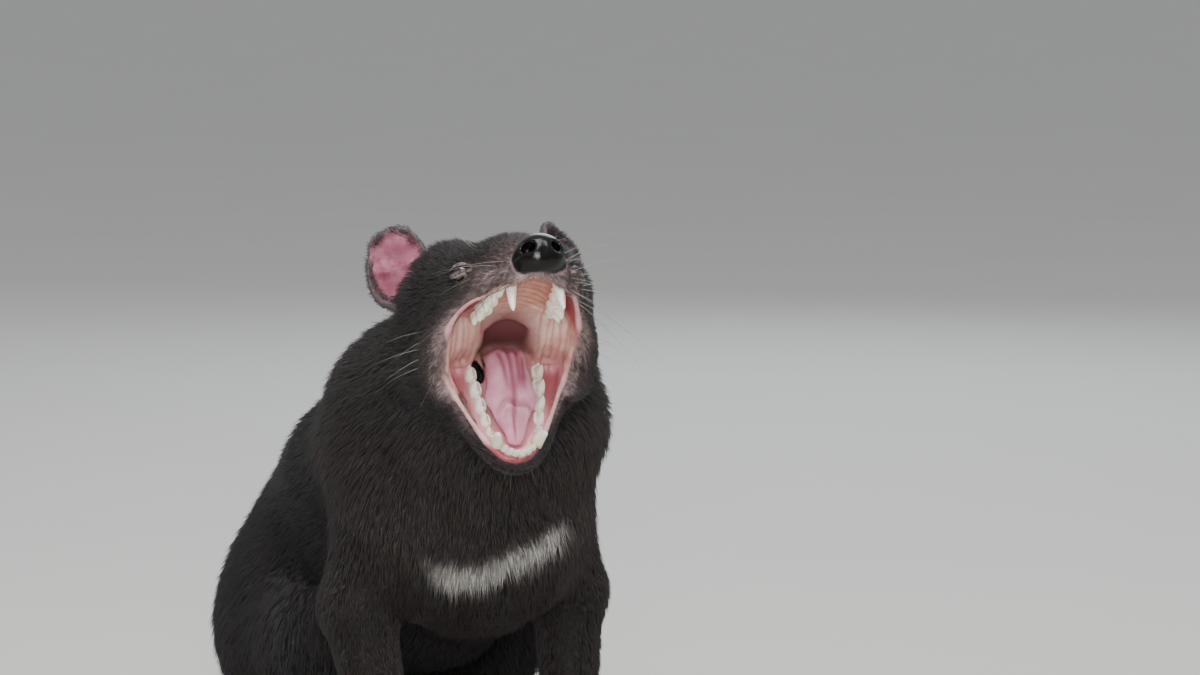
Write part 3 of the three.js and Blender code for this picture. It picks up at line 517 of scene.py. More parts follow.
# Fold at the inner edge of each cheek, from behind the upper tooth row to behind the lower one.
cheekFold = ((21, 23, -8), tuple(toHead(fromJaw(np.array([20.0, 21.5, -11.0])))), (2.6, 2.2))


def skinGap(p):
    gap = trunkGap(p)
    q = toHead(p)
    j = toJaw(q)
    f, l, u = q.T
    near = np.flatnonzero(closeToHead(q, "shape"))
    lipGap = np.full(len(p), 60.0)
    if len(near):
        qn, jn = q[near], j[near]
        fn, un = f[near], u[near]
        sn = np.abs(l[near] - noseLean * ease(62, 100, fn))
        skull = np.full(len(near), 900.0)
        for at, half, blend in skullForms.values():
            skull = join(skull, ellipsoidGap(fn, sn, un, at, half), blend)
        skull = join(skull, boneGap(fn, sn, un, *snoutBridge[:3]), snoutBridge[3])
        jaw = np.full(len(near), 900.0)
        jawSide = np.abs(jn[:, 1] - mouth["jawShift"] * 0.7 * ease(40, 70, jn[:, 0]))
        jawSide = jawSide * (1 + 0.04 * ease(50, 75, jn[:, 0]))
        for at, half, blend in jawForms.values():
            jaw = join(jaw, ellipsoidGap(jn[:, 0], jawSide, jn[:, 2], at, half), blend)
        parts = faceParts(qn, jn)
        lipGap[near] = np.minimum(parts["upperLip"], parts["lowerLip"])
        head = join(join(skull, jaw, 8), gap[near], 18) + depthAt(p[near], qn, jn, lipGap[near])
        for hand in (-1, 1):
            centre = eyeShape["right" if hand < 0 else "left"]
            ball = np.sqrt(((qn - centre) ** 2).sum(axis=1)) - eyeShape["radius"]
            head = join(head, ball - 0.2, 3)
            head = carve(head, ball - 0.1, 0.6)
            for line, thick in eyeLids[hand]:
                head = join(head, pathGap(qn, line, thick), lid["join"])
        for hand in ("right", "left"):
            head = join(head, np.where(fn < 24, earGap(qn, hand), 60), 5)
        head = carve(head, parts["hollow"], 6)
        for key, blend in (("upperGum", 5), ("lowerGum", 5), ("upperLip", 3), ("lowerLip", 3)):
            head = join(head, parts[key], blend)
        head = join(head, boneGap(fn, sn, un, *cheekFold), 5)
        head = carve(head, ellipsoidGap(*jn.T, *tonguePit), 2)
        head = carve(head, ellipsoidGap(fn, sn, un, nostril["at"], nostril["half"]), 1.5)
        head = carve(head, boneGap(fn, sn, un, *nostril["slit"]), 1.5)
        head = carve(head, boneGap(fn, sn, un, *noseGroove), 1.5)
    rest = np.setdiff1d(np.arange(len(p)), near, assume_unique=True)
    gap[rest] += depthAt(p[rest], q[rest], j[rest], lipGap[rest])
    if len(near):
        gap[near] = head
    return np.maximum(gap, 0.5 - p[:, 2])


def spread(parts):  # grid lines from pieces of even spacing: start, step, start, step ... end
    lines = [np.arange(parts[i], parts[i + 2], parts[i + 1]) for i in range(0, len(parts) - 2, 2)]
    return np.concatenate(lines + [[parts[-1]]])


def sampleGrid(gapAt, axes, block=6):
    # The gap at every grid point, worked out only in blocks that the surface may cross.
    size = [len(a) for a in axes]
    values = np.empty(size, np.float32)
    starts = [np.arange(0, n, block) for n in size]
    mids, halves = [], []
    for a, s, n in zip(axes, starts, size):
        e = np.minimum(s + block, n) - 1
        mids.append((a[s] + a[e]) / 2)
        halves.append((a[e] - a[s]) / 2)
    middle = np.stack(np.meshgrid(*mids, indexing="ij"), -1).reshape(-1, 3)
    reach = np.sqrt(sum(h**2 for h in np.meshgrid(*halves, indexing="ij"))).ravel()
    coarse = gapAt(middle)
    crossed = (np.abs(coarse) < reach * 1.7 + 9).reshape([len(s) for s in starts])
    owner = np.ix_(*[np.arange(n) // block for n in size])
    values[:] = coarse.reshape(crossed.shape)[owner]
    index = np.argwhere(crossed[owner])
    for part in np.array_split(index, max(1, len(index) // 250000)):
        points = np.stack([axes[i][part[:, i]] for i in range(3)], -1)
        values[part[:, 0], part[:, 1], part[:, 2]] = gapAt(points)
    for axis in range(3):
        rim = np.moveaxis(values, axis, 0)
        rim[0], rim[-1] = 900, 900
    values[values == 0] = 1e-4
    return values


def untangle(values):
    # Two diagonal corners of a grid face may not both stand alone: the weakest corner changes side.
    for sweep in range(8):
        changed = 0
        for axis in range(3):
            v = np.moveaxis(values, axis, 0)
            corners = [v[:, :-1, :-1], v[:, 1:, :-1], v[:, 1:, 1:], v[:, :-1, 1:]]
            side = [c < 0 for c in corners]
            bad = np.argwhere((side[0] == side[2]) & (side[1] == side[3]) & (side[0] != side[1]))
            if not len(bad):
                continue
            changed += len(bad)
            steps = np.array([(0, 0, 0), (0, 1, 0), (0, 1, 1), (0, 0, 1)])
            amounts = np.stack([np.abs(v[tuple((bad + s).T)]) for s in steps], -1)
            spot = bad + steps[np.argmin(amounts, axis=1)]
            spot = np.unique(spot, axis=0)
            v[tuple(spot.T)] = -np.sign(v[tuple(spot.T)]) * 1e-3
        if not changed:
            return


def closedSurface(gapAt, axes):
    # One point in each crossed grid cell, drawn onto the surface, and a face over each crossed edge.
    values = sampleGrid(gapAt, axes)
    untangle(values)
    inside = values < 0
    eight = sum(
        inside[a : a - 1 or None, b : b - 1 or None, c : c - 1 or None].astype(np.int8)
        for a in (0, 1) for b in (0, 1) for c in (0, 1)
    )
    cell = np.argwhere((eight > 0) & (eight < 8))
    number = np.full(eight.shape, -1, np.int32)
    number[tuple(cell.T)] = np.arange(len(cell))
    total, count = np.zeros((len(cell), 3)), np.zeros(len(cell))
    unitStep = np.eye(3, dtype=int)
    for axis in range(3):
        others = [i for i in range(3) if i != axis]
        for m in range(4):
            start = cell + unitStep[others[0]] * (m & 1) + unitStep[others[1]] * (m >> 1)
            end = start + unitStep[axis]
            v0, v1 = values[tuple(start.T)], values[tuple(end.T)]
            cross = (v0 < 0) != (v1 < 0)
            t = np.where(cross, v0 / np.where(cross, v0 - v1, 1), 0)
            spot = np.stack([axes[i][start[:, i]] for i in range(3)], -1)
            spot[:, axis] += t * (axes[axis][end[:, axis]] - axes[axis][start[:, axis]])
            total += spot * cross[:, None]
            count += cross
    points = total / count[:, None]
    low = np.stack([axes[i][cell[:, i]] for i in range(3)], -1)
    high = np.stack([axes[i][cell[:, i] + 1] for i in range(3)], -1)
    h = 0.35
    for sweep in range(2):
        gap = gapAt(points)
        slope = np.stack([(gapAt(points + h * unitStep[i]) - gap) / h for i in range(3)], -1)
        steep = np.maximum(0.4, (slope**2).sum(axis=1))
        points = np.clip(points - slope * (gap / steep)[:, None], low, high)
    faces = []
    for axis in range(3):
        a, b = unitStep[(axis + 1) % 3], unitStep[(axis + 2) % 3]
        v = np.moveaxis(inside, axis, 0)
        edge = np.argwhere(np.moveaxis(v[1:] != v[:-1], 0, axis))
        ring = np.stack([number[tuple((edge - s).T)] for s in (0 * a, a, a + b, b)], -1)
        outward = inside[tuple(edge.T)]
        faces.append(np.where(outward[:, None], ring, ring[:, ::-1]))
    return points, np.vstack(faces)


# Materials. Each reads Object coordinates or the piece's own point values.
def feed(tree, socket, source):  # wires the socket, or sets it where the source is a plain value
    if isinstance(source, bpy.types.NodeSocket):
        tree.links.new(source, socket)
    else:
        socket.default_value = source


def put(tree, kind, sources=None, **settings):  # adds a node and feeds its sockets, by name or number
    made = tree.nodes.new(kind)
    for key, value in settings.items():
        setattr(made, key, value)
    for key, source in (sources or {}).items():
        feed(tree, made.inputs[key], source)
    return made


def valueOf(tree, name):  # one of the piece's own point values
    return put(tree, "ShaderNodeAttribute", attribute_name=name).outputs["Fac"]


def blendColour(tree, amount, first, second):  # first colour where the amount is 0, second where it is 1
    return put(tree, "ShaderNodeMix", {0: amount, 6: first, 7: second}, data_type="RGBA").outputs[2]


def overlay(tree, tone, colours, names):  # lays each named colour where the point value of that name is high
    for name in names:
        tone = blendColour(tree, valueOf(tree, name), tone, colours[name])
    return tone


def sums(tree, kind, a, b):
    return put(tree, "ShaderNodeMath", {0: a, 1: b}, operation=kind).outputs[0]


def between(tree, amount, low, high):  # low where the amount is 0, high where it is 1
    return put(tree, "ShaderNodeMapRange", {"Value": amount, "To Min": low, "To Max": high}).outputs[0]


def newGroup(name, inputs, output):
    group = bpy.data.node_groups.new(name, "ShaderNodeTree")
    for key, value in inputs.items():
        kind = "NodeSocketColor" if isinstance(value, tuple) else "NodeSocketFloat"
        group.interface.new_socket(name=key, in_out="INPUT", socket_type=kind).default_value = value
    group.interface.new_socket(name=output[0], in_out="OUTPUT", socket_type=output[1])
    return group, group.nodes.new("NodeGroupInput").outputs, group.nodes.new("NodeGroupOutput").inputs[0]


def makeMottle():
    # Soft blotches of a second colour, from noise over Object coordinates.
    inputs = {"Colour": (1, 1, 1, 1), "Blotch": (0, 0, 0, 1), "Scale": 100.0, "Amount": 0.5}
    group, given, out = newGroup("softMottle", inputs, ("Colour", "NodeSocketColor"))
    noise = put(group, "ShaderNodeTexNoise", {
        "Vector": put(group, "ShaderNodeTexCoord").outputs["Object"], "Scale": given["Scale"],
        "Detail": 4.0, "Roughness": 0.6,
    })
    limits = {"From Min": 0.38, "From Max": 0.66, "Value": noise.outputs["Fac"]}
    ramp = put(group, "ShaderNodeMapRange", limits)
    amount = sums(group, "MULTIPLY", ramp.outputs[0], given["Amount"])
    group.links.new(blendColour(group, amount, given["Colour"], given["Blotch"]), out)
    return group


def makeGrain():
    # Height of fine pores and creases: noise for creases less the edges of small cells.
    inputs = {"Pore Scale": 900.0, "Crease Scale": 200.0, "Crease Share": 0.5}
    group, given, out = newGroup("poreGrain", inputs, ("Height", "NodeSocketFloat"))
    place = put(group, "ShaderNodeTexCoord").outputs["Object"]
    cells = put(group, "ShaderNodeTexVoronoi", {"Vector": place, "Scale": given["Pore Scale"]})
    noise = put(group, "ShaderNodeTexNoise", {"Vector": place, "Scale": given["Crease Scale"], "Detail": 5.0})
    crease = sums(group, "MULTIPLY", noise.outputs["Fac"], given["Crease Share"])
    pores = sums(group, "MULTIPLY", cells.outputs["Distance"], 0.5)
    group.links.new(sums(group, "SUBTRACT", crease, pores), out)
    return group


mottle = makeMottle()
grain = makeGrain()


def mottled(tree, colour, blotch, scale, amount):
    sources = {"Colour": colour, "Blotch": blotch, "Scale": scale, "Amount": amount}
    return put(tree, "ShaderNodeGroup", sources, node_tree=mottle).outputs[0]


def grained(tree, pores, creases, share=0.5):
    sources = {"Pore Scale": pores, "Crease Scale": creases, "Crease Share": share}
    return put(tree, "ShaderNodeGroup", sources, node_tree=grain).outputs[0]


def newMaterial(name, fixed, look):
    # A Principled material with its constant sockets set, and the colours of its look.
    material = bpy.data.materials.new(name)
    material.use_nodes = True
    shader = material.node_tree.nodes["Principled BSDF"]
    for key, value in fixed.items():
        shader.inputs[key].default_value = value
    return material, material.node_tree, shader, {key: linear(rgb) for key, rgb in look.items()}


def addBump(tree, shader, height, strength, distance):
    bump = put(tree, "ShaderNodeBump", {"Strength": strength, "Distance": distance, "Height": height})
    tree.links.new(bump.outputs[0], shader.inputs["Normal"])


def skinMaterial():
    look = {
        "underCoat": (14, 13, 13), "bare": (150, 128, 126), "bareShade": (92, 76, 78), "pad": (70, 55, 56),
        "lid": (128, 114, 112), "lidShade": (70, 60, 60), "lidEdge": (16, 12, 12), "nose": (9, 7, 7),
        "lip": (220, 176, 176), "lipDeep": (176, 78, 90),
        "cheek": (200, 148, 138), "cheekPale": (226, 192, 180),
        # Painted shade: a near-black colour for the hollow beside the tongue.
        "palate": (194, 138, 120), "palateDeep": (156, 98, 86), "throat": (112, 66, 70), "pitShade": (26, 9, 10),
        "streak": (166, 100, 96), "rose": (150, 62, 70), "floor": (206, 140, 150), "gum": (236, 206, 208),
        "mark": (150, 148, 144), "cup": (166, 106, 124), "cupDeep": (108, 34, 60), "fuzz": (80, 64, 72),
    }
    fixed = {"Subsurface Weight": 0.08, "Subsurface Scale": 0.004, "Subsurface Radius": (1.0, 0.35, 0.2)}
    material, tree, shader, c = newMaterial("devilSkin", fixed, look)
    value = {k: valueOf(tree, k) for k in ("bare", "lid", "wet", "lip", "nose", "cup", "fuzz", "streak")}
    bareTone = mottled(tree, c["bare"], c["bareShade"], 260.0, 0.8)
    tone = blendColour(tree, value["bare"], c["underCoat"], bareTone)
    tone = blendColour(tree, value["lid"], tone, mottled(tree, c["lid"], c["lidShade"], 420.0, 0.8))
    tone = overlay(tree, tone, c, ("lidEdge", "pad", "mark"))
    cup = overlay(tree, c["cup"], c, ("cupDeep",))
    tone = blendColour(tree, value["cup"], tone, mottled(tree, cup, c["cupDeep"], 95.0, 0.9))
    tone = blendColour(tree, sums(tree, "MULTIPLY", value["fuzz"], 0.85), tone, c["fuzz"])
    lining = mottled(tree, c["cheek"], c["cheekPale"], 70.0, 0.9)
    lining = blendColour(tree, sums(tree, "MULTIPLY", value["streak"], 0.6), lining, c["streak"])
    lining = overlay(tree, lining, c, ("floor",))
    roof = {"palate": mottled(tree, c["palate"], c["palateDeep"], 120.0, 0.7)}
    lining = overlay(tree, lining, {**c, **roof}, ("palate", "rose", "throat", "gum", "pitShade"))
    tone = blendColour(tree, value["wet"], tone, lining)
    lipTone = overlay(tree, c["lip"], c, ("lipDeep",))
    tone = blendColour(tree, value["lip"], tone, mottled(tree, lipTone, c["lipDeep"], 110.0, 0.5))
    feed(tree, shader.inputs["Base Color"], blendColour(tree, value["nose"], tone, c["nose"]))
    rough = between(tree, sums(tree, "MAXIMUM", value["wet"], value["lip"]), 0.62, 0.26)
    feed(tree, shader.inputs["Roughness"], between(tree, value["nose"], rough, 0.16))
    feed(tree, shader.inputs["Specular IOR Level"], between(tree, value["nose"], 0.5, 0.3))
    wrinkle = sums(tree, "SINE", sums(tree, "MULTIPLY", valueOf(tree, "fold"), 3.6), 0.0)
    wrinkle = sums(tree, "MULTIPLY", sums(tree, "MULTIPLY", wrinkle, value["lid"]), 0.8)
    height = sums(tree, "ADD", grained(tree, 900.0, 240.0, 1.1), wrinkle)
    height = sums(tree, "MULTIPLY", height, between(tree, value["nose"], 1.0, 0.35))
    addBump(tree, shader, height, 0.4, 0.0009)
    return material


def coatMaterial():
    look = {
        "root": (10, 9, 10), "tip": (66, 62, 61), "warm": (76, 59, 51), "paintedSheen": (96, 102, 112),
        "mark": (206, 204, 198), "face": (100, 87, 84), "fuzz": (108, 100, 98),
    }
    fixed = {"Roughness": 0.55, "Specular IOR Level": 0.35}
    material, tree, shader, c = newMaterial("blackCoat", fixed, look)
    tip = overlay(tree, c["tip"], c, ("warm",))
    # Painted sheen: a bluish grey mixed into the hair tips in random amounts, in place of the sky's
    # reflection on the coat.
    tip = blendColour(tree, sums(tree, "MULTIPLY", valueOf(tree, "tone"), 0.35), tip, c["paintedSheen"])
    tone = blendColour(tree, valueOf(tree, "along"), c["root"], tip)
    feed(tree, shader.inputs["Base Color"], overlay(tree, tone, c, ("face", "fuzz", "mark")))
    return material


def toothMaterial():
    look = {"crown": (250, 247, 236), "neck": (218, 198, 158), "stain": (236, 226, 198)}
    fixed = {
        "Roughness": 0.22, "Specular IOR Level": 0.5, "Subsurface Weight": 0.1, "Subsurface Scale": 0.002,
    }
    material, tree, shader, c = newMaterial("toothEnamel", fixed, look)
    crown = mottled(tree, c["crown"], c["stain"], 260.0, 0.6)
    feed(tree, shader.inputs["Base Color"], overlay(tree, crown, c, ("neck",)))
    addBump(tree, shader, grained(tree, 700.0, 300.0), 0.12, 0.0005)
    return material


def tongueMaterial():
    # The darker furrow colour is painted shade in the tongue's furrows and folds.
    look = {"top": (204, 132, 156), "pale": (222, 164, 184), "grooveShade": (150, 76, 96), "back": (168, 100, 122)}
    fixed = {
        "Roughness": 0.32, "Specular IOR Level": 0.5, "Subsurface Weight": 0.12, "Subsurface Scale": 0.004,
        "Subsurface Radius": (1.0, 0.4, 0.3),
    }
    material, tree, shader, c = newMaterial("moistTongue", fixed, look)
    tone = mottled(tree, c["top"], c["pale"], 90.0, 0.8)
    feed(tree, shader.inputs["Base Color"], overlay(tree, tone, c, ("back", "grooveShade")))
    addBump(tree, shader, grained(tree, 1300.0, 160.0, 0.8), 0.6, 0.0008)
    return material


def plainMaterial(name, look, fixed, scale, amount, bump):  # two mottled colours with fine grain
    material, tree, shader, c = newMaterial(name, fixed, look)
    feed(tree, shader.inputs["Base Color"], mottled(tree, c["main"], c["blotch"], scale, amount))
    addBump(tree, shader, grained(tree, scale * 3, scale), bump, 0.0005)
    return material


skinLook = skinMaterial()
coatLook = coatMaterial()
toothLook = toothMaterial()
tongueLook = tongueMaterial()
eyeFixed = {"Roughness": 0.06, "Specular IOR Level": 0.7, "Coat Weight": 1.0}
eyeLook = plainMaterial("wetEye", {"main": (16, 10, 9), "blotch": (34, 20, 14)}, eyeFixed, 300.0, 0.6, 0.0)
clawTones = {"main": (60, 52, 48), "blotch": (120, 108, 98)}
clawLook = plainMaterial("hornClaw", clawTones, {"Roughness": 0.35}, 200.0, 0.7, 0.25)
whiskerTones = {"main": (150, 143, 136), "blotch": (90, 84, 78)}
whiskerLook = plainMaterial("paleWhisker", whiskerTones, {"Roughness": 0.4}, 60.0, 0.5, 0.0)
print("materials made")


# The skin: one closed surface of trunk, limbs, tail, head, mouth and lids.
skinGrid = {
    "x": (-118, 5, -88, 1.8, -64, 1.35, 42, 1.8, 72, 4, 92, 5, 140),
    "y": (-176, 1.35, -76, 1.8, 22, 4, 60, 5, 140, 6.5, 470),
    "z": (-3, 4, 24, 6, 196, 2.6, 214, 1.35, 345, 1.7, 372),
}


def lipInward(q, j):  # how far inside the lips a point lies, by the nearer jaw
    f, l, u = q.T
    side = np.abs(l - mouth["lipShift"])
    above, below = (
        np.minimum(lipSide - side, front - forward)
        for forward, (lipSide, _, front) in ((f, lipAt(f, "upperLip")), (j[:, 0], lipAt(j[:, 0], "lowerLip")))
    )
    return np.where(u * math.cos(gape / 2) + f * math.sin(gape / 2) > 0, above, below)


def earMarks(q):
    # Cup, deeper blotches, fuzzy rim and dark rear of both ears.
    cup, deep, fuzz = np.zeros(len(q)), np.zeros(len(q)), np.zeros(len(q))
    for hand in ("left", "right"):
        h, v, out = earPlace(q, hand)
        reach = np.hypot(h, v)
        out = out - earBowl(h, v)
        rear = q[:, 0] < 24
        inside = (reach < 1.15) * ease(-0.7, 0.0, out) * ease(20, 12, out) * rear
        blotch = lobe(h, v, 0.42, 0.26, 0.5) + lobe(h, v, -0.45, 0.3, 0.5)
        cup = np.maximum(cup, inside * ease(1.0, 0.66, reach + 0.05 * np.sin(7 * v + 3 * h)))
        deep = np.maximum(deep, inside * np.clip(blotch, 0, 1))
        cup = cup * (0.35 if hand == "left" else 1)
        rim = (reach < 1.2) * ease(0.8, 0.94, reach) * rear
        fuzz = np.maximum(fuzz, rim * ease(-6, -2, out) * ease(12, 6, out))
    return cup, deep, fuzz


def skinMarks(p):
    # Where each tint of the skin lies, as values from 0 to 1.
    q, j, parts, lipGap = facePlaces(p)
    f, l, u = q.T
    side = np.abs(l - mouth["lipShift"])
    near = closeToHead(q, "marks")
    wet = ease(2.6, 1.0, parts["hollow"]) * ease(-1.0, 0.6, lipInward(q, j)) * near
    front = ease(86, 62, f)
    lip = np.maximum(ease(1.0, 0.1, parts["upperLip"]) * front, ease(1.0, 0.1, parts["lowerLip"]))
    roofGap = np.abs(u - palateHeight(f, side))
    palateMark = ease(10, 6, roofGap) * ease(26, 40, f) * ease(26, 21, side)
    # throat: a dusky colour deep at the back of the mouth, partly the lining's own deeper tone and partly
    # painted shade of the deep hollow.
    throat = ease(30, 12, np.hypot(f, u) + side * 0.12) * ease(26, 18, side)
    # Painted shade, near black, laid over the hollow between the tongue and the right back teeth.
    pitShade = ease(1.6, 0.2, ellipsoidGap(*j.T, *tonguePit))
    slant = np.arctan2(-u, f)
    streak = 0.5 + 0.5 * np.sin(side * 1.5 + 1.3 * np.sin(1.9 * slant) + 0.7 * np.sin(side * 0.6 + 3 * slant))
    streak = streak**2 * ease(17, 22, side) * ease(34, 26, np.hypot(f, u) * 0.6)
    rose = ease(9, 4, roofGap) * ease(23, 27, side) * ease(20, 34, f)
    vestibule = ease(6, 2, np.abs(j[:, 2] - mouth["floor"])) * ease(22, 27, side) * ease(24, 34, j[:, 0])
    rose = np.maximum(rose, 0.7 * vestibule)
    floor = ease(12, 5, np.abs(j[:, 2] - mouth["floor"])) * ease(16, 30, j[:, 0])
    gumFront = ease(72, 82, j[:, 0]) * ease(2.0, 0.6, parts["lowerGum"])
    bare = muzzle(q) * near
    bare = np.maximum(bare, 0.9 * ease(20, 4, lipGap) * ease(80, 50, j[:, 0]) * near)
    eyelid, fold, lidEdge = lidMarks(q)
    noseMark = ease(93.0, 94.6, f + 0.28 * (u + 6)) * ease(-9.5, -7.5, u) * near
    pad = ease(3, 1, p[:, 2]) * ease(190, 180, p[:, 1])
    deep = ease(80, 88, j[:, 0]) * ease(20, 12, parts["lowerLip"])
    cup, blotch, fuzz = earMarks(q)
    return {
        "bare": bare, "lid": eyelid, "wet": wet, "lip": lip, "lipDeep": deep, "palate": palateMark,
        "throat": throat, "rose": rose, "floor": floor, "gum": gumFront, "nose": noseMark, "pad": pad,
        "mark": crescent(p), "cup": cup, "cupDeep": blotch, "fuzz": fuzz, "fold": fold, "lidEdge": lidEdge,
        "pitShade": pitShade, "streak": streak,
    }


def muzzle(q):  # bare sides of the snout, less on its top, from the cheek forward
    f, l, u = q.T
    return ease(42, 66, f - 0.5 * np.maximum(0, u - 8)) * ease(-40, -20, u)


def lidMarks(q):
    # The pale wrinkled patch round each slit, the height that places its wrinkles, and its dark margin.
    patch, fold, edge = np.zeros(len(q)), np.zeros(len(q)), np.zeros(len(q))
    for hand in (-1, 1):
        outward, along, over = lidAxes(hand)
        slit = lid["slitRight" if hand < 0 else "slitLeft"]
        d = q - eyeShape["right" if hand < 0 else "left"]
        a, h = d @ along, d @ over
        here = ease(1.15, 0.75, np.hypot(a / 13, h / 8.5)) * ease(-2, 2, d @ outward)
        patch = np.maximum(patch, here)
        rim = slit / 2 + 1.1 * np.sqrt(np.clip(1 - (a / 10) ** 2, 0, 1))
        edge = np.maximum(edge, here * ease(0.5, -0.3, np.abs(h) - rim) * ease(10.5, 8.5, np.abs(a)))
        fold = np.where(here > 0, h + 0.035 * a * a * np.sign(h), fold)
    return patch, fold, edge


# White crescent across the chest: a curved band, lowest a little to the right.
chestMark = {
    "lowest": 131.0, "middle": -30.0, "slopeLeft": 0.4, "slopeRight": 0.95,
    "width": 7.5, "from": -50, "to": 50, "front": 30,
}


def crescent(p):
    x, y, z = p.T
    off = x - chestMark["middle"]
    slope = np.where(off > 0, chestMark["slopeLeft"], chestMark["slopeRight"])
    line = chestMark["lowest"] + slope * (np.sqrt(off**2 + 100) - 10)
    line = line + np.sin(x * 0.19 + 1) + 0.8 * np.sin(x * 0.47)
    start, end = chestMark["from"], chestMark["to"]
    ends = ease(start - 6, start + 16, x) * ease(end + 6, end - 16, x)
    wide = chestMark["width"] * (0.4 + 0.6 * ends)
    band = ease(wide + 5, wide - 5, np.abs(z - line))
    return band * ends * (y < chestMark["front"])


skinAxes = [spread(skinGrid[k]) for k in "xyz"]
print("skin grid", [len(a) for a in skinAxes])
skinPoints, skinFaces = closedSurface(skinGap, skinAxes)
print("skin surface:", len(skinPoints), "points,", 2 * len(skinFaces), "triangles")
fleshNodes = ["head", "lower_jaw", "nose", "ear_right", "ear_left", "neck", "torso", "tail"] + [
    f"{part}_{hand}" for part in ("foreleg", "forefoot", "hindleg", "hindfoot") for hand in ("right", "left")
]
skin = makePiece("skin", skinPoints, skinFaces, [skinLook], skinMarks(skinPoints))
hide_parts(*fleshNodes)


def ringFaces(rings, around):  # four-sided faces between rings of points laid one after another
    a = np.arange(rings - 1)[:, None] * around + np.arange(around)[None, :]
    b = np.arange(rings - 1)[:, None] * around + (np.arange(around)[None, :] + 1) % around
    return np.stack([a, b, b + around, a + around], -1).reshape(-1, 4)


def closedTube(rings):
    # Rings (n, around, 3) closed at each end by a point at the ring's mean; returns points and triangles.
    n, around = rings.shape[:2]
    points = np.vstack([rings.reshape(-1, 3), rings[0].mean(axis=0), rings[-1].mean(axis=0)])
    quads = ringFaces(n, around)
    step = np.arange(around)
    nextStep = (step + 1) % around
    pole, last = n * around, (n - 1) * around
    start = np.stack([np.full(around, pole), nextStep, step], -1)
    end = np.stack([np.full(around, pole + 1), step + last, nextStep + last], -1)
    tris = np.vstack([quads[:, [0, 1, 2]], quads[:, [0, 2, 3]], start, end])
    return points, tris


def outwardTris(points, tris):  # turned so that the closed shape holds a positive volume
    a, b, c = (points[tris[:, i]] for i in range(3))
    return tris if np.einsum("ij,ij->", a, np.cross(b, c)) > 0 else tris[:, ::-1]


def gather(parts):  # several closed shapes, as (points, triangles, values), put into one set of arrays
    points, tris, values, base = [], [], [], 0
    for p, t, v in parts:
        points.append(p)
        tris.append(outwardTris(p, t) + base)
        values.append(v)
        base += len(p)
    return np.vstack(points), np.vstack(tris), np.concatenate(values)


# Teeth as [forward, side, length, half length, half width] along each row; canines by root and tip.
upperTeeth = {
    "incisors": [(93.5, 1.8), (92.8, 5.2), (91, 8.4), (88.5, 11)],
    "incisorSize": (9.5, 1.75, 1.5),
    "canine": ((84.2, 14.2, -2), (83.6, 16.2, -27.5), 4.3, 2.6),
    "cheek": [
        (73.4, 16.6, 13, 3.8, 2.9), (64.8, 19.8, 16, 5.4, 4.8), (54, 21.8, 18, 6.4, 6.0),
        (42, 23.2, 19, 6.8, 6.6), (31, 24.4, 17, 5.4, 6.0),
    ],
    "base": 2.0,
    "rise": -1,
    "shift": 0.4,
}
lowerTeeth = {
    "incisors": [(91.4, 2.0), (90.2, 5.6), (87.8, 8.9)],
    "incisorSize": (12.5, 2.3, 1.5),
    "canine": ((84, 12.4, -16), (86, 15.4, 4.8), 4.9, -2.4),
    "cheek": [
        (74, 15.6, 14, 4.3, 3.4), (64.6, 17.2, 16, 5.3, 4.2), (53.8, 18.9, 18, 6.0, 4.8),
        (42.2, 20.4, 19, 6.3, 5.1), (31, 21.6, 18.5, 5.7, 4.8),
    ],
    "base": -20.0,
    "rise": 1,
    "shift": -2.0,
}


def crownShape(molar, hand, base, rise, lower):
    # A height over an oval: a low table raised by rounded cones at the cusps, then walls down to the root.
    forward, side, height, halfLong, halfWide = molar
    around, inner, outer = 28, 9, 7
    angle = np.arange(around) / around * 2 * np.pi
    if lower:
        cusps = [(0.05, 0.3, 1.0), (-0.66, 0.2, 0.78), (0.7, -0.1, 0.74), (-0.1, -0.6, 0.62)]
    else:
        cusps = [(-0.2, 0.5, 1.0), (0.6, 0.4, 0.86), (-0.75, 0.3, 0.74), (0.15, -0.55, 0.76)]
    reach = np.concatenate([np.linspace(0.02, 0.9, inner), np.full(outer, 1.0)])
    reach[inner:] = [0.98, 1.04, 1.06, 1.04, 0.98, 0.92, 0.86]
    a = reach[:, None] * np.cos(angle)
    b = reach[:, None] * np.sin(angle) * (0.9 + 0.1 * np.cos(2 * angle))
    table, steep = (0.5, 0.62) if lower else (0.68, 0.45)
    top = np.full(a.shape, table)
    for ca, cb, ch in cusps:
        top = np.maximum(top, ch - steep * np.hypot((a - ca) * 1.1, b - cb) ** 0.9)
    rim = top[inner - 1]
    fall = np.linspace(1, 0, outer + 1)[1:]
    level = np.vstack([top[:inner], rim * fall[:, None]])
    rings = np.stack([forward + a * halfLong, (side + b * halfWide) * hand, base + rise * height * level], -1)
    return rings, (1 - level / level.max()).ravel()


def spikeShape(root, tip, radius, bend, flat, around=18, levels=16):
    # Rings along a bent line whose radius falls like a quarter ellipse to the tip.
    root, tip = np.array(root, float), np.array(tip, float)
    way = unit(tip - root)
    across = unit(np.cross((0, 1, 0), way))
    wide = np.cross(way, across)
    t = 1 - (1 - np.linspace(0, 1, levels)) ** 1.5
    t[-1] = 0.997
    centre = root + np.outer(t, tip - root) + np.outer(bend * 4 * t * (1 - t), across)
    thick = radius * np.sqrt(1 - t**2) * (1 - 0.12 * t)
    angle = np.arange(around) / around * 2 * np.pi
    ring = np.cos(angle)[None, :, None] * across + np.sin(angle)[None, :, None] * wide * flat
    return centre[:, None, :] + thick[:, None, None] * ring, np.repeat(1 - t, around)


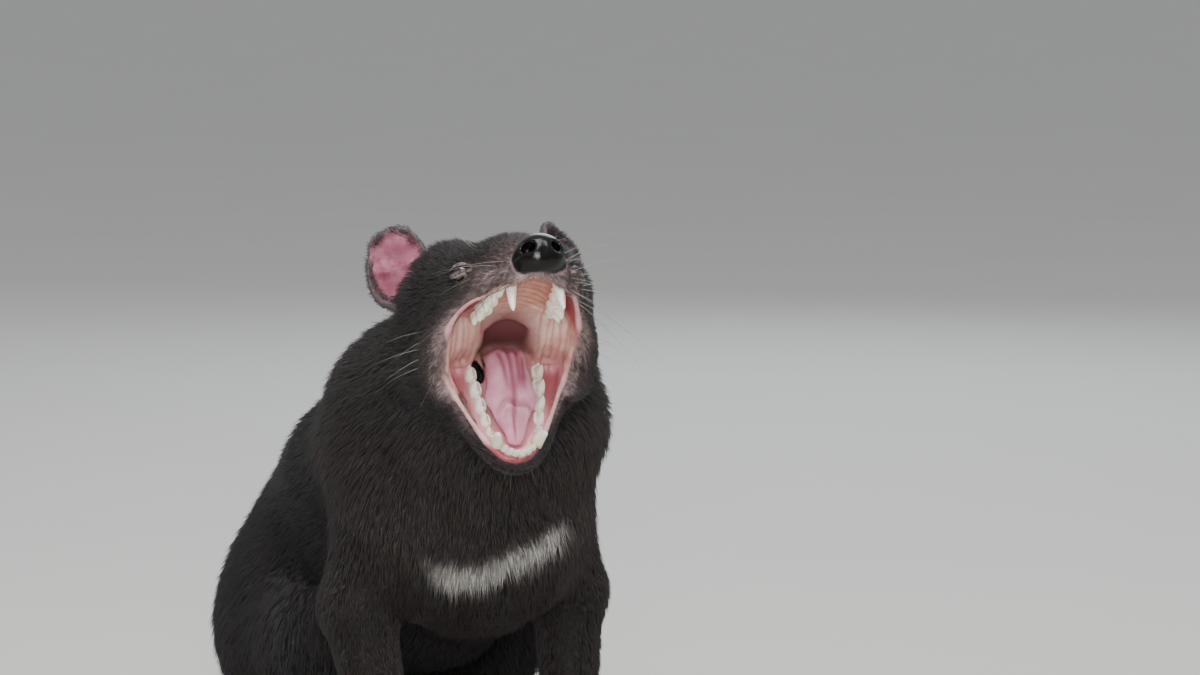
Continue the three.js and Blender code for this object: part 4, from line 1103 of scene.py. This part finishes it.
def toothParts(row, toWorld, lower):
    parts = []
    tall, radius, flat = row["incisorSize"]
    base, rise = row["base"], row["rise"]
    edge = base + rise * 6 + rise * (tall - 3)
    for hand in (-1, 1):
        flip = np.array((1, hand, 1))
        shapes = []
        for forward, side in row["incisors"]:
            start, end = (forward - 0.5, side, base), (forward + 0.6, side, edge)
            shapes.append(spikeShape(start * flip, end * flip, radius, 0, flat, 14, 9))
        root, tip, thick, bend = row["canine"]
        shapes.append(spikeShape(root * flip, tip * flip, thick, bend, 0.85, 22, 18))
        shapes += [crownShape(molar, hand, base, rise, lower) for molar in row["cheek"]]
        for rings, fade in shapes:
            points, tris = closedTube(rings + (0, row["shift"], 0))
            fade = np.concatenate([fade, [fade[0], fade[-1]]])
            parts.append((toWorld(points), tris, ease(0.5, 0.85, fade)))
    return parts


for name, row, toWorld in (("upperTeeth", upperTeeth, fromHead), ("lowerTeeth", lowerTeeth, fromJaw)):
    points, tris, neck = gather(toothParts(row, toWorld, row is lowerTeeth))
    piece = makePiece(name, points, tris, [toothLook], {"neck": neck})
print("teeth made")


# Tongue, in lower jaw coordinates: [forward, up, half width, half height] along its length.
tongue = {
    "line": [
        (15, -12, 7.5, 5), (20, -8, 11.8, 7.5), (26, -4.5, 13.8, 9.4), (36, -3, 13.4, 10),
        (46, -3.6, 14.2, 9), (56, -4.8, 16, 7.6), (64, -7.4, 12.6, 5.8),
        (73, -10, 7.6, 4), (81, -11.5, 5, 2.6), (84, -12, 2, 1.2),
    ],
    "furrow": 1.3,
    "sideFold": 1.1,
    "folds": ((0.44, 0.14, 0.1), (-0.4, 0.12, 0.14), (0.74, 0.12, 0.2)),
    "crossFold": 2.2,
    "shift": -2.6,
}


def tongueShape(rows=110, around=84):
    # Ovals along a line; the upper half has three furrows on the hump that run together at a cross fold.
    line = smoothLine(tongue["line"], rows)
    angle = np.arange(around) / around * 2 * np.pi
    s = np.linspace(0, 1, rows)[:, None]
    across, height = np.cos(angle)[None, :], np.sin(angle)[None, :]
    topSide = ease(0.0, 0.5, height)
    drift = 0.05 * np.sin(s * 9 + 0.6)
    meet = 1 - 0.45 * ease(0.2, 0.6, s)
    furrow = tongue["furrow"] * bell(across + drift - 0.02, 0.13) * ease(0.05, 0.2, s) * ease(1.0, 0.75, s)
    beside = 0
    for place, wide, low in tongue["folds"]:
        fold = tongue["sideFold"] * bell(across + drift - place * meet, wide)
        beside = beside + fold * ease(low, low + 0.1, s) * ease(0.56, 0.4, s)
    bend = 0.6 + 0.07 * across**2 + 0.015 * np.sin(across * 6)
    cross = tongue["crossFold"] * (bell(s - bend, 0.026) - 0.8 * bell(s - bend - 0.05, 0.035))
    rear = 1.2 * np.sin(across * 5 + 0.8) * ease(0.24, 0.1, s) * ease(0.0, 0.06, s)
    relief = (furrow + beside + cross + rear) * topSide
    wave = 0.8 * np.sin(s * 31 + 2 * across) * (1 - topSide)
    wide = line[:, 2:3] * (1 + 0.04 * np.sin(s * 17)) + wave * 0.5
    tall = line[:, 3:4]
    square = np.sign(height) * np.abs(height) ** 0.82
    middle = tongue["shift"] + 1.0 * ease(0.4, 0.1, s)
    forward = np.broadcast_to(line[:, 0:1], (rows, around))
    rings = np.stack([forward, wide * across + middle, line[:, 1:2] + tall * square - relief], -1)
    # Painted shade: a darker colour along the middle furrow, the side folds and, faintly, the cross fold.
    grooveShade = 0.9 * furrow / tongue["furrow"] + 0.8 * beside + np.maximum(cross, 0) * 0.2
    grooveShade = np.clip(grooveShade * topSide, 0, 1)
    back = np.broadcast_to(ease(0.3, 0.0, s), grooveShade.shape)
    return rings, grooveShade, back


rings, grooveShade, back = tongueShape()
points, tris = closedTube(rings)
points = fromJaw(points)
tongueValues = {"grooveShade": np.append(grooveShade.ravel(), [0, 0]), "back": np.append(back.ravel(), [1, 0])}
tonguePiece = makePiece("tongueFlesh", points, outwardTris(points, tris), [tongueLook], tongueValues)
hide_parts("tongue")
print("tongue made")


def ballShape(centre, radius, around=40, levels=24):  # sphere of rings, poles closed
    t = np.linspace(0.03, np.pi - 0.03, levels)[:, None]
    a = (np.arange(around) / around * 2 * np.pi)[None, :]
    ball = np.stack([np.sin(t) * np.cos(a), np.sin(t) * np.sin(a), np.cos(t) + 0 * a], -1)
    return np.array(centre, float) + radius * ball


for hand in ("right", "left"):
    points, tris = closedTube(ballShape(eyeShape[hand], eyeShape["radius"]))
    points = fromHead(points)
    piece = makePiece("eye" + hand.title(), points, outwardTris(points, tris), [eyeLook])
    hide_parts("eye_" + hand)
print("eyes made")


# Claws: bent tapering horn from the end of each toe.
claw = {"length": 15, "radius": 2.5, "drop": 5, "rise": 3, "lowest": 0.9}


def clawParts():
    parts = []
    for row in (fingers, toes):
        for start, end, radii, blend in toeBones(row):
            way = unit(np.array([end[0] - start[0], end[1] - start[1], 0.0]))
            for hand in (-1, 1):
                root = (end[0] * hand, end[1], end[2] + claw["rise"] - 1)
                far = end + way * claw["length"]
                tip = (far[0] * hand, far[1], max(claw["lowest"], end[2] - claw["drop"]))
                rings, fade = spikeShape(root, tip, claw["radius"], -1.6, 0.7, 14, 10)
                points, tris = closedTube(rings)
                parts.append((points, tris, np.append(fade, [1, 0])))
    return parts


points, tris, fade = gather(clawParts())
piece = makePiece("claws", points, tris, [clawLook])
print("claws made")


# The coat: bent hairs, thin at both ends, whose length, width, rise and lie change over the body.
coat = {
    "seed": 11, "total": 236000, "clump": 5.5, "clumpPull": 0.4, "middle": 0.42,
    "depths": (0.8, 1.5, 2.8, 4.5, 6.5), "lengths": (2.2, 3.6, 6.5, 11.0, 17.0),
    "widths": (0.10, 0.13, 0.17, 0.22, 0.27), "lengthRange": (0.65, 1.15), "widthRange": (0.75, 1.2),
    "riseRange": (0.5, 1.15), "swirls": ((0.25, 60, 3), (0.12, 18, 4)), "stray": 0.14, "curl": 0.07,
    "lowest": 0.4, "earShorter": 0.45, "earThinner": 0.3, "crownLonger": 0.3, "crownSteeper": 0.5,
}
random = np.random.default_rng(coat["seed"])


def faceNormals(points, faces):  # mean direction of the faces round each point
    a, b, c, d = (points[faces[:, i]] for i in range(4))
    n = np.cross(c - a, d - b)
    total = np.stack([np.bincount(faces.ravel(), np.repeat(n[:, i], 4), len(points)) for i in range(3)], -1)
    return unit(total), np.linalg.norm(n, axis=1) / 2


def waves(p, size, seed):  # smooth three-part noise from crossing sine waves
    r = np.random.default_rng(seed)
    out = np.zeros((len(p), 3))
    for i in range(6):
        k = r.normal(size=3) / size
        out += np.sin(p @ k * 2 * np.pi + r.uniform(0, 6.28))[:, None] * unit(r.normal(size=3))
    return out / 2.4


def lieAt(p, q, j):
    # The lie of the coat: each form's own direction, the nearest forms counting most.
    x, y, z = p.T
    side, hand = np.abs(x), np.where(x < 0, -1.0, 1.0)
    gaps, ways = [], []
    for at, half, blend, lie in trunkForms.values():
        gaps.append(ellipsoidGap(side, y, z, at, half))
        ways.append(np.stack([lie[0] + 0.12 * hand, lie[1] + 0 * x, lie[2] + 0 * x], -1))
    for start, end, radii, blend in limbBones.values():
        gaps.append(boneGap(side, y, z, start, end, radii))
        way = unit(np.subtract(end, start).astype(float))
        ways.append(np.stack([way[0] * hand, way[1] + 0 * x, way[2] + 0 * x], -1))
    for start, end, radii, blend in tailBones:
        gaps.append(boneGap(x, y, z, start, end, radii) - 2)
        ways.append(np.broadcast_to(unit(np.subtract(end, start).astype(float)), p.shape))
    f, l, u = q.T
    for at, half, blend in skullForms.values():
        gaps.append(ellipsoidGap(f, np.abs(l), u, at, half) - 3)
        ways.append(unit(q - (104, 0, 2)) @ headAxes)
    jawTip = toHead(fromJaw(np.array([100.0, 0, -14])))
    for at, half, blend in jawForms.values():
        gaps.append(ellipsoidGap(j[:, 0], np.abs(l), j[:, 2], at, half) - 3)
        ways.append(unit(q - jawTip) @ headAxes)
    gaps = np.stack(gaps)
    share = np.exp(-(gaps - gaps.min(axis=0)) / 7)
    return (share[..., None] * np.stack(ways)).sum(axis=0)


def scatterRoots():
    # Roots spread over the skin by area, closer together where the hairs are shorter and thinner.
    normals, area = faceNormals(skinPoints, skinFaces)
    middle = skinPoints[skinFaces].mean(axis=1)
    q, j, parts, lipGap = facePlaces(middle)
    depth = depthAt(middle, q, j, lipGap + 15)
    length = np.interp(depth, coat["depths"], coat["lengths"])
    width = np.interp(depth, coat["depths"], coat["widths"])
    marks = skinMarks(middle)
    bare = [marks[k] for k in ("wet", "lip", "nose", "pad", "cup")]
    naked = np.maximum.reduce(bare + [ease(0.3, 0.9, marks["lid"])])
    sparse = np.maximum(0.8 * ease(9, 2.5, lipGap), 0.55 * ease(60, 84, q[:, 0]))
    sparse = sparse * closeToHead(q, "sparse")
    naked = np.maximum(naked, sparse)
    amount = area / (width * length) * (1 - np.clip(naked, 0, 1))
    amount = np.where((naked > 0.9) | (middle[:, 2] < 1.2), 0, amount)
    count = coat["total"]
    step = (np.arange(count) + random.uniform(0, 1, count)) * amount.sum() / count
    face = np.searchsorted(np.cumsum(amount), step)
    face = np.minimum(face, len(skinFaces) - 1)
    a, b = random.uniform(0, 1, (2, count, 1))
    corner = skinPoints[skinFaces[face]]
    turned = normals[skinFaces[face]]
    share = [(1 - a) * (1 - b), a * (1 - b), a * b, (1 - a) * b]
    root = sum(corner[:, i] * share[i] for i in range(4))
    normal = unit(sum(turned[:, i] * share[i] for i in range(4)))
    return root, normal


def hairArrays(root, normal, lie, length, width, rise, curl):
    # Five points each: the root under the skin, three round the middle, and the tip, bent down to the lie.
    side = unit(np.cross(normal, lie))
    spots = []
    for t in (0, coat["middle"], 1):
        angle = rise * (1.55 - 0.55 * t)
        spot = root + (length * t)[:, None] * (np.cos(angle)[:, None] * lie + np.sin(angle)[:, None] * normal)
        spots.append(spot + curl * (t * t * length)[:, None])
    points = [spots[0] - 0.5 * normal]
    for third in (0.5, 0.5 + 2 / 3, 0.5 + 4 / 3):
        out = math.cos(third * math.pi) * side + math.sin(third * math.pi) * normal
        points.append(spots[1] + out * width[:, None])
    return np.stack(points + [spots[2]], 1)


hairFaces = np.array([(0, 2, 1), (0, 3, 2), (0, 1, 3), (1, 2, 4), (2, 3, 4), (3, 1, 4)])


def clumped(root, points, size, pull):
    # Tips and middles are drawn towards the mean of their neighbours in the same small patch of skin.
    warped = root + 0.6 * size * waves(root, size * 3, 5)
    cell = np.floor(warped / size).astype(np.int64)
    cell -= cell.min(axis=0)
    high = cell.max(axis=0) + 1
    key = (cell[:, 0] * high[1] + cell[:, 1]) * high[2] + cell[:, 2]
    key, group = np.unique(key, return_inverse=True)
    count = np.bincount(group)
    tip = points[:, 4]
    mean = np.stack([np.bincount(group, tip[:, i]) for i in range(3)], -1) / count[:, None]
    toward = (mean[group] - tip) * pull
    points = points.copy()
    points[:, 4] += toward
    points[:, 1:4] += (toward * 0.35)[:, None]
    return points


def patchesFor(root, centre):
    # Each hair's own small patch, 0.003 across, placed by the angles of its root round the part's middle.
    d = root - centre
    place = np.stack([np.arctan2(d[:, 0], -d[:, 1]), np.arctan2(d[:, 2], np.hypot(d[:, 0], d[:, 1]))], -1)
    low, high = place.min(axis=0), place.max(axis=0)
    place = 0.01 + 0.98 * (place - low) / np.maximum(high - low, 1e-6)
    corner = np.array([(0, -1.5), (-1.5, -0.3), (1.5, -0.3), (0, 0.2), (0, 1.5)]) * 0.001
    return (place[:, None] + corner[None]).reshape(-1, 2)


def makeCoatPiece(name, chosen, centre):
    count = int(chosen.sum())
    if not count:
        return
    faces = (np.arange(count)[:, None, None] * 5 + hairFaces[None]).reshape(-1, 3)
    carried = {k: np.repeat(v[chosen], 5) for k, v in coatValues.items()}
    carried["along"] = np.tile([0, 0.5, 0.5, 0.5, 1.0], count)
    patches = patchesFor(root[chosen], centre)
    piece = makePiece(name, points[chosen].reshape(-1, 3), faces, [coatLook], carried, patches)
    print(name, count, "hairs,", len(faces), "triangles")


root, normal = scatterRoots()
q, j, parts, lipGap = facePlaces(root)
depth = depthAt(root, q, j, lipGap + 15)
nearHead = closeToHead(q, "coat")
onEar = earMarks(q)[2]
lie = lieAt(root, q, j)
for amount, size, seed in coat["swirls"]:
    lie = lie + amount * waves(root, size, seed)
lie = lie + coat["stray"] * random.normal(size=root.shape)
lie = unit(lie - (lie * normal).sum(axis=1, keepdims=True) * normal)
fullLength = np.interp(depth, coat["depths"], coat["lengths"])
length = fullLength * random.uniform(*coat["lengthRange"], len(root))
length = length * (1 - coat["earShorter"] * onEar)
width = np.interp(depth, coat["depths"], coat["widths"]) * random.uniform(*coat["widthRange"], len(root))
width = width * (1 - coat["earThinner"] * onEar)
lift = np.clip(depth / fullLength, 0.05, 0.75)
upper = ease(14, 24, q[:, 2]) * ease(-20, 0, q[:, 0]) * nearHead * (1 - ease(0.1, 0.5, onEar))
length = length * (1 + coat["crownLonger"] * upper)
rise = np.arcsin(lift) * random.uniform(*coat["riseRange"], len(root)) * (1 + coat["crownSteeper"] * upper)
curl = coat["curl"] * random.normal(size=root.shape)
points = hairArrays(root, normal, lie, length, width, rise, curl)
points = clumped(root, points, coat["clump"], coat["clumpPull"])
points[..., 2] = np.maximum(points[..., 2], coat["lowest"])
f, l, u = q.T
middleHair = root + 0.5 * length[:, None] * lie
throatWarm = 0.6 * ease(60, -20, root[:, 1]) * ease(275, 200, root[:, 2])
onMuzzle = np.clip(0.85 * muzzle(q) + 0.6 * ease(18, 5, lipGap) * ease(80, 50, j[:, 0]), 0, 1)
coatValues = {
    # tone: each hair's random share of the painted bluish sheen on its tip.
    "tone": np.clip(0.35 + 0.35 * waves(root, 30, 8)[:, 0] + random.uniform(-0.35, 0.35, len(root)), 0, 1),
    "warm": np.clip(throatWarm + 0.2 * waves(root, 45, 9)[:, 1], 0, 1),
    "mark": np.clip(crescent(middleHair) * random.uniform(0.55, 1.25, len(root)), 0, 1),
    "face": onMuzzle * nearHead * random.uniform(0.4, 1, len(root)),
    # fuzz: grey hairs on the ear rims, and a fainter grey over the whole head that is partly the hair's own
    # grey and partly painted highlight where the head's hairs catch the light.
    "fuzz": np.maximum(onEar, 0.28 * nearHead) * random.uniform(0.1, 1, len(root)),
}

# Where the coat is divided into pieces, and the middle round which each one's map is laid.
limit = {"skullRear": -34, "jawRear": 10, "headDepth": 6.2, "feetTop": 44, "feetDepth": 5, "tailStart": 262}
limit["browRear"] = 20
bands = (-400, 0, 62, 130, 200, 600)
places = {"head": (-13, -90, 318), "feet": (0, 60, 40), "tail": (40, 350, 20), "body": (0, 80, 160)}
onHead = nearHead & ((f > limit["skullRear"]) | (j[:, 0] > limit["jawRear"])) & (depth < limit["headDepth"])
onFeet = ~onHead & (root[:, 2] < limit["feetTop"]) & (depth < limit["feetDepth"])
onFeet = onFeet & (root[:, 1] < limit["tailStart"])
onTail = ~onHead & ~onFeet & (root[:, 1] > limit["tailStart"])
onBody = ~(onHead | onFeet | onTail)
right = root[:, 0] < 0
for name, part in (("Brow", f > limit["browRear"]), ("Crown", f <= limit["browRear"])):
    makeCoatPiece("coat" + name + "Right", onHead & part & (l < 0), places["head"])
    makeCoatPiece("coat" + name + "Left", onHead & part & (l >= 0), places["head"])
makeCoatPiece("coatFeet", onFeet, places["feet"])
makeCoatPiece("coatTail", onTail, places["tail"])
for name, low, high in zip(("Front", "Shoulder", "Middle", "Hip", "Rump"), bands, bands[1:]):
    band = onBody & (root[:, 1] >= low) & (root[:, 1] < high)
    makeCoatPiece("coat" + name + "Right", band & right, places["body"])
    makeCoatPiece("coat" + name + "Left", band & ~right, places["body"])
print("coat made:", len(root), "hairs")


# Whiskers, brow and chin hairs: long bent hairs from rows of roots, [forward, side, up] and way out.
whisker = {"seed": 5, "radius": 0.17, "levels": 12, "taper": 0.86, "sink": 0.8}


def whiskerRows():
    # Rows on each side of the snout, then a few hairs over the eye, behind the cheek and under the chin.
    made = []
    r = np.random.default_rng(whisker["seed"])
    for hand in (-1, 1):
        for row in range(4):
            for step in range(4):
                side = hand * (15 + 2.4 * step)
                start = np.array([82 - 6.0 * step - row, side, 6 - 4.4 * row - 0.5 * step])
                back = -0.95 if hand < 0 else -0.1
                way = np.array([back, hand * (1.0 - 0.1 * step), 0.55 - 0.34 * row]) + 0.14 * r.normal(size=3)
                bend = np.array([-0.22, -0.06 * hand, -0.1])
                made.append((start, way, 48 + 9 * step + 14 * r.uniform(), bend))
        for step in range(4):
            start = np.array([44 + 3 * step, hand * (24 - 1.5 * step), 32 + 0.4 * step])
            way = np.array([-0.4 - 0.1 * step, hand * 0.55, 0.9]) + 0.15 * r.normal(size=3)
            made.append((start, way, 24 + 8 * r.uniform(), np.array([-0.3, 0, 0])))
        for step in range(5):
            start = np.array([8 - 2.5 * step, hand * 54, -8 - 5.0 * step])
            way = np.array([-0.6, hand * 0.9, 0.1]) + 0.2 * r.normal(size=3)
            made.append((start, way, 24 + 10 * r.uniform(), np.array([-0.2, 0, -0.1])))
    down = toHead(joint + np.array([0.0, -0.25, -1.0]))
    for k in range(6):
        start = toHead(fromJaw(np.array([60.0 + 5 * k, 9.0 * (k % 3 - 1), -34 + 0.6 * k])))
        made.append((start, down + 0.22 * r.normal(size=3), 20 + 9 * r.uniform(), np.array([0, 0, 0])))
    return made


def whiskerPatches(starts, size):
    # Every whisker's own small patch, placed by its root's angles round the head's middle.
    d = starts - (40, 0, 0)
    about, above = np.arctan2(d[:, 1], d[:, 0]), np.arctan2(d[:, 2], np.hypot(d[:, 0], d[:, 1]))
    place = np.stack([about / 6.4 + 0.5, above / 3.2 + 0.5], -1)
    step = np.arange(size)
    corner = np.stack([np.cos(step * 2.4), np.sin(step * 2.4)], -1) * 0.0015
    return (place[:, None] + corner[None]).reshape(-1, 2)


def hairTube(start, way, length, bend):
    # Four-sided rings along a bent line, narrowing to the tip.
    t = np.linspace(0, 1, whisker["levels"])[:, None]
    way = unit(way)
    line = start + length * (t * way + t * t * bend)
    along = unit(np.gradient(line, axis=0))
    side = unit(np.cross(along, (0.3, 0.2, 1.0)))
    over = np.cross(along, side)
    angle = np.arange(4) * np.pi / 2
    thick = whisker["radius"] * (1 - t**1.3 * whisker["taper"])[..., None]
    ring = np.cos(angle)[None, :, None] * side[:, None] + np.sin(angle)[None, :, None] * over[:, None]
    return line[:, None] + thick * ring


def onSkin(points):  # moved along the body's own slope until they lie just under the skin
    p = points.copy()
    sink, step = whisker["sink"], 0.5
    for sweep in range(6):
        gap = skinGap(p) + sink
        slope = np.stack([(skinGap(p + step * way) - gap + sink) / step for way in np.eye(3)], -1)
        p = p - slope * (gap / np.maximum(0.4, (slope**2).sum(axis=1)))[:, None]
    return p


rows = whiskerRows()
starts = toHead(onSkin(fromHead(np.array([r[0] for r in rows]))))
hairs = []
for start, (old, way, long, bend) in zip(starts, rows):
    shape, tris = closedTube(hairTube(start, way, long, bend))
    hairs.append((fromHead(shape), tris, np.zeros(len(shape))))
points, tris, _ = gather(hairs)
patches = whiskerPatches(starts, len(points) // len(rows))
piece = makePiece("whiskers", points, tris, [whiskerLook], patches=patches)
print("whiskers made:", len(rows))


# Pale floor and soft light from above.
def addFloor():
    mesh = bpy.data.meshes.new("floor")
    side, far = 30, 60
    corners = [(-side, -side, 0), (side, -side, 0), (side, far, 0), (-side, far, 0)]
    mesh.from_pydata(corners, [], [(0, 1, 2, 3)])
    tones = {"main": (192, 191, 188), "blotch": (188, 187, 184)}
    mesh.materials.append(plainMaterial("paleFloor", tones, {"Roughness": 0.85}, 3.0, 0.5, 0.02))
    floor = bpy.data.objects.new("floor", mesh)
    bpy.context.collection.objects.link(floor)


def addLight(name, spot, size, power, colour):  # a square lamp aimed at the middle of the animal
    data = bpy.data.lights.new(name, "AREA")
    data.size, data.energy, data.color = size, power, colour
    lamp = bpy.data.objects.new(name, data)
    bpy.context.collection.objects.link(lamp)
    away = unit(np.array(spot, float) - np.array((0, -0.1, 0.2)))
    side = unit(np.cross((0, 1, 0.001), away))
    over = np.cross(away, side)
    lamp.matrix_world = Matrix(np.vstack([np.stack([side, over, away, spot], 1), (0, 0, 0, 1)]))


def addSky():
    # Pale above, and as dim at the horizon as the far floor, so that no edge shows between them.
    world = bpy.data.worlds.new("studio")
    bpy.context.scene.world = world
    world.use_nodes = True
    tree = world.node_tree
    back = tree.nodes["Background"]
    way = put(tree, "ShaderNodeTexCoord").outputs["Generated"]
    height = put(tree, "ShaderNodeSeparateXYZ", {"Vector": way}).outputs["Z"]
    limits = {"From Max": sky["fullHeight"], "Value": height}
    rise = put(tree, "ShaderNodeMapRange", limits, interpolation_type="SMOOTHSTEP")
    feed(tree, back.inputs["Color"], blendColour(tree, rise.outputs[0], sky["horizon"], sky["above"]))
    back.inputs["Strength"].default_value = sky["strength"]


sky = {"horizon": (0.50, 0.505, 0.51, 1), "above": (0.84, 0.86, 0.89, 1), "strength": 0.7, "fullHeight": 0.6}
addFloor()
addSky()
addLight("overhead", (-0.4, -0.9, 2.4), 1.8, 80, (1, 0.98, 0.95))
addLight("front", (-1.0, -2.4, 0.8), 0.8, 32, (1, 0.97, 0.94))
addLight("rear", (1.4, 1.8, 1.6), 1.6, 26, (0.85, 0.92, 1))
print("floor and light made")
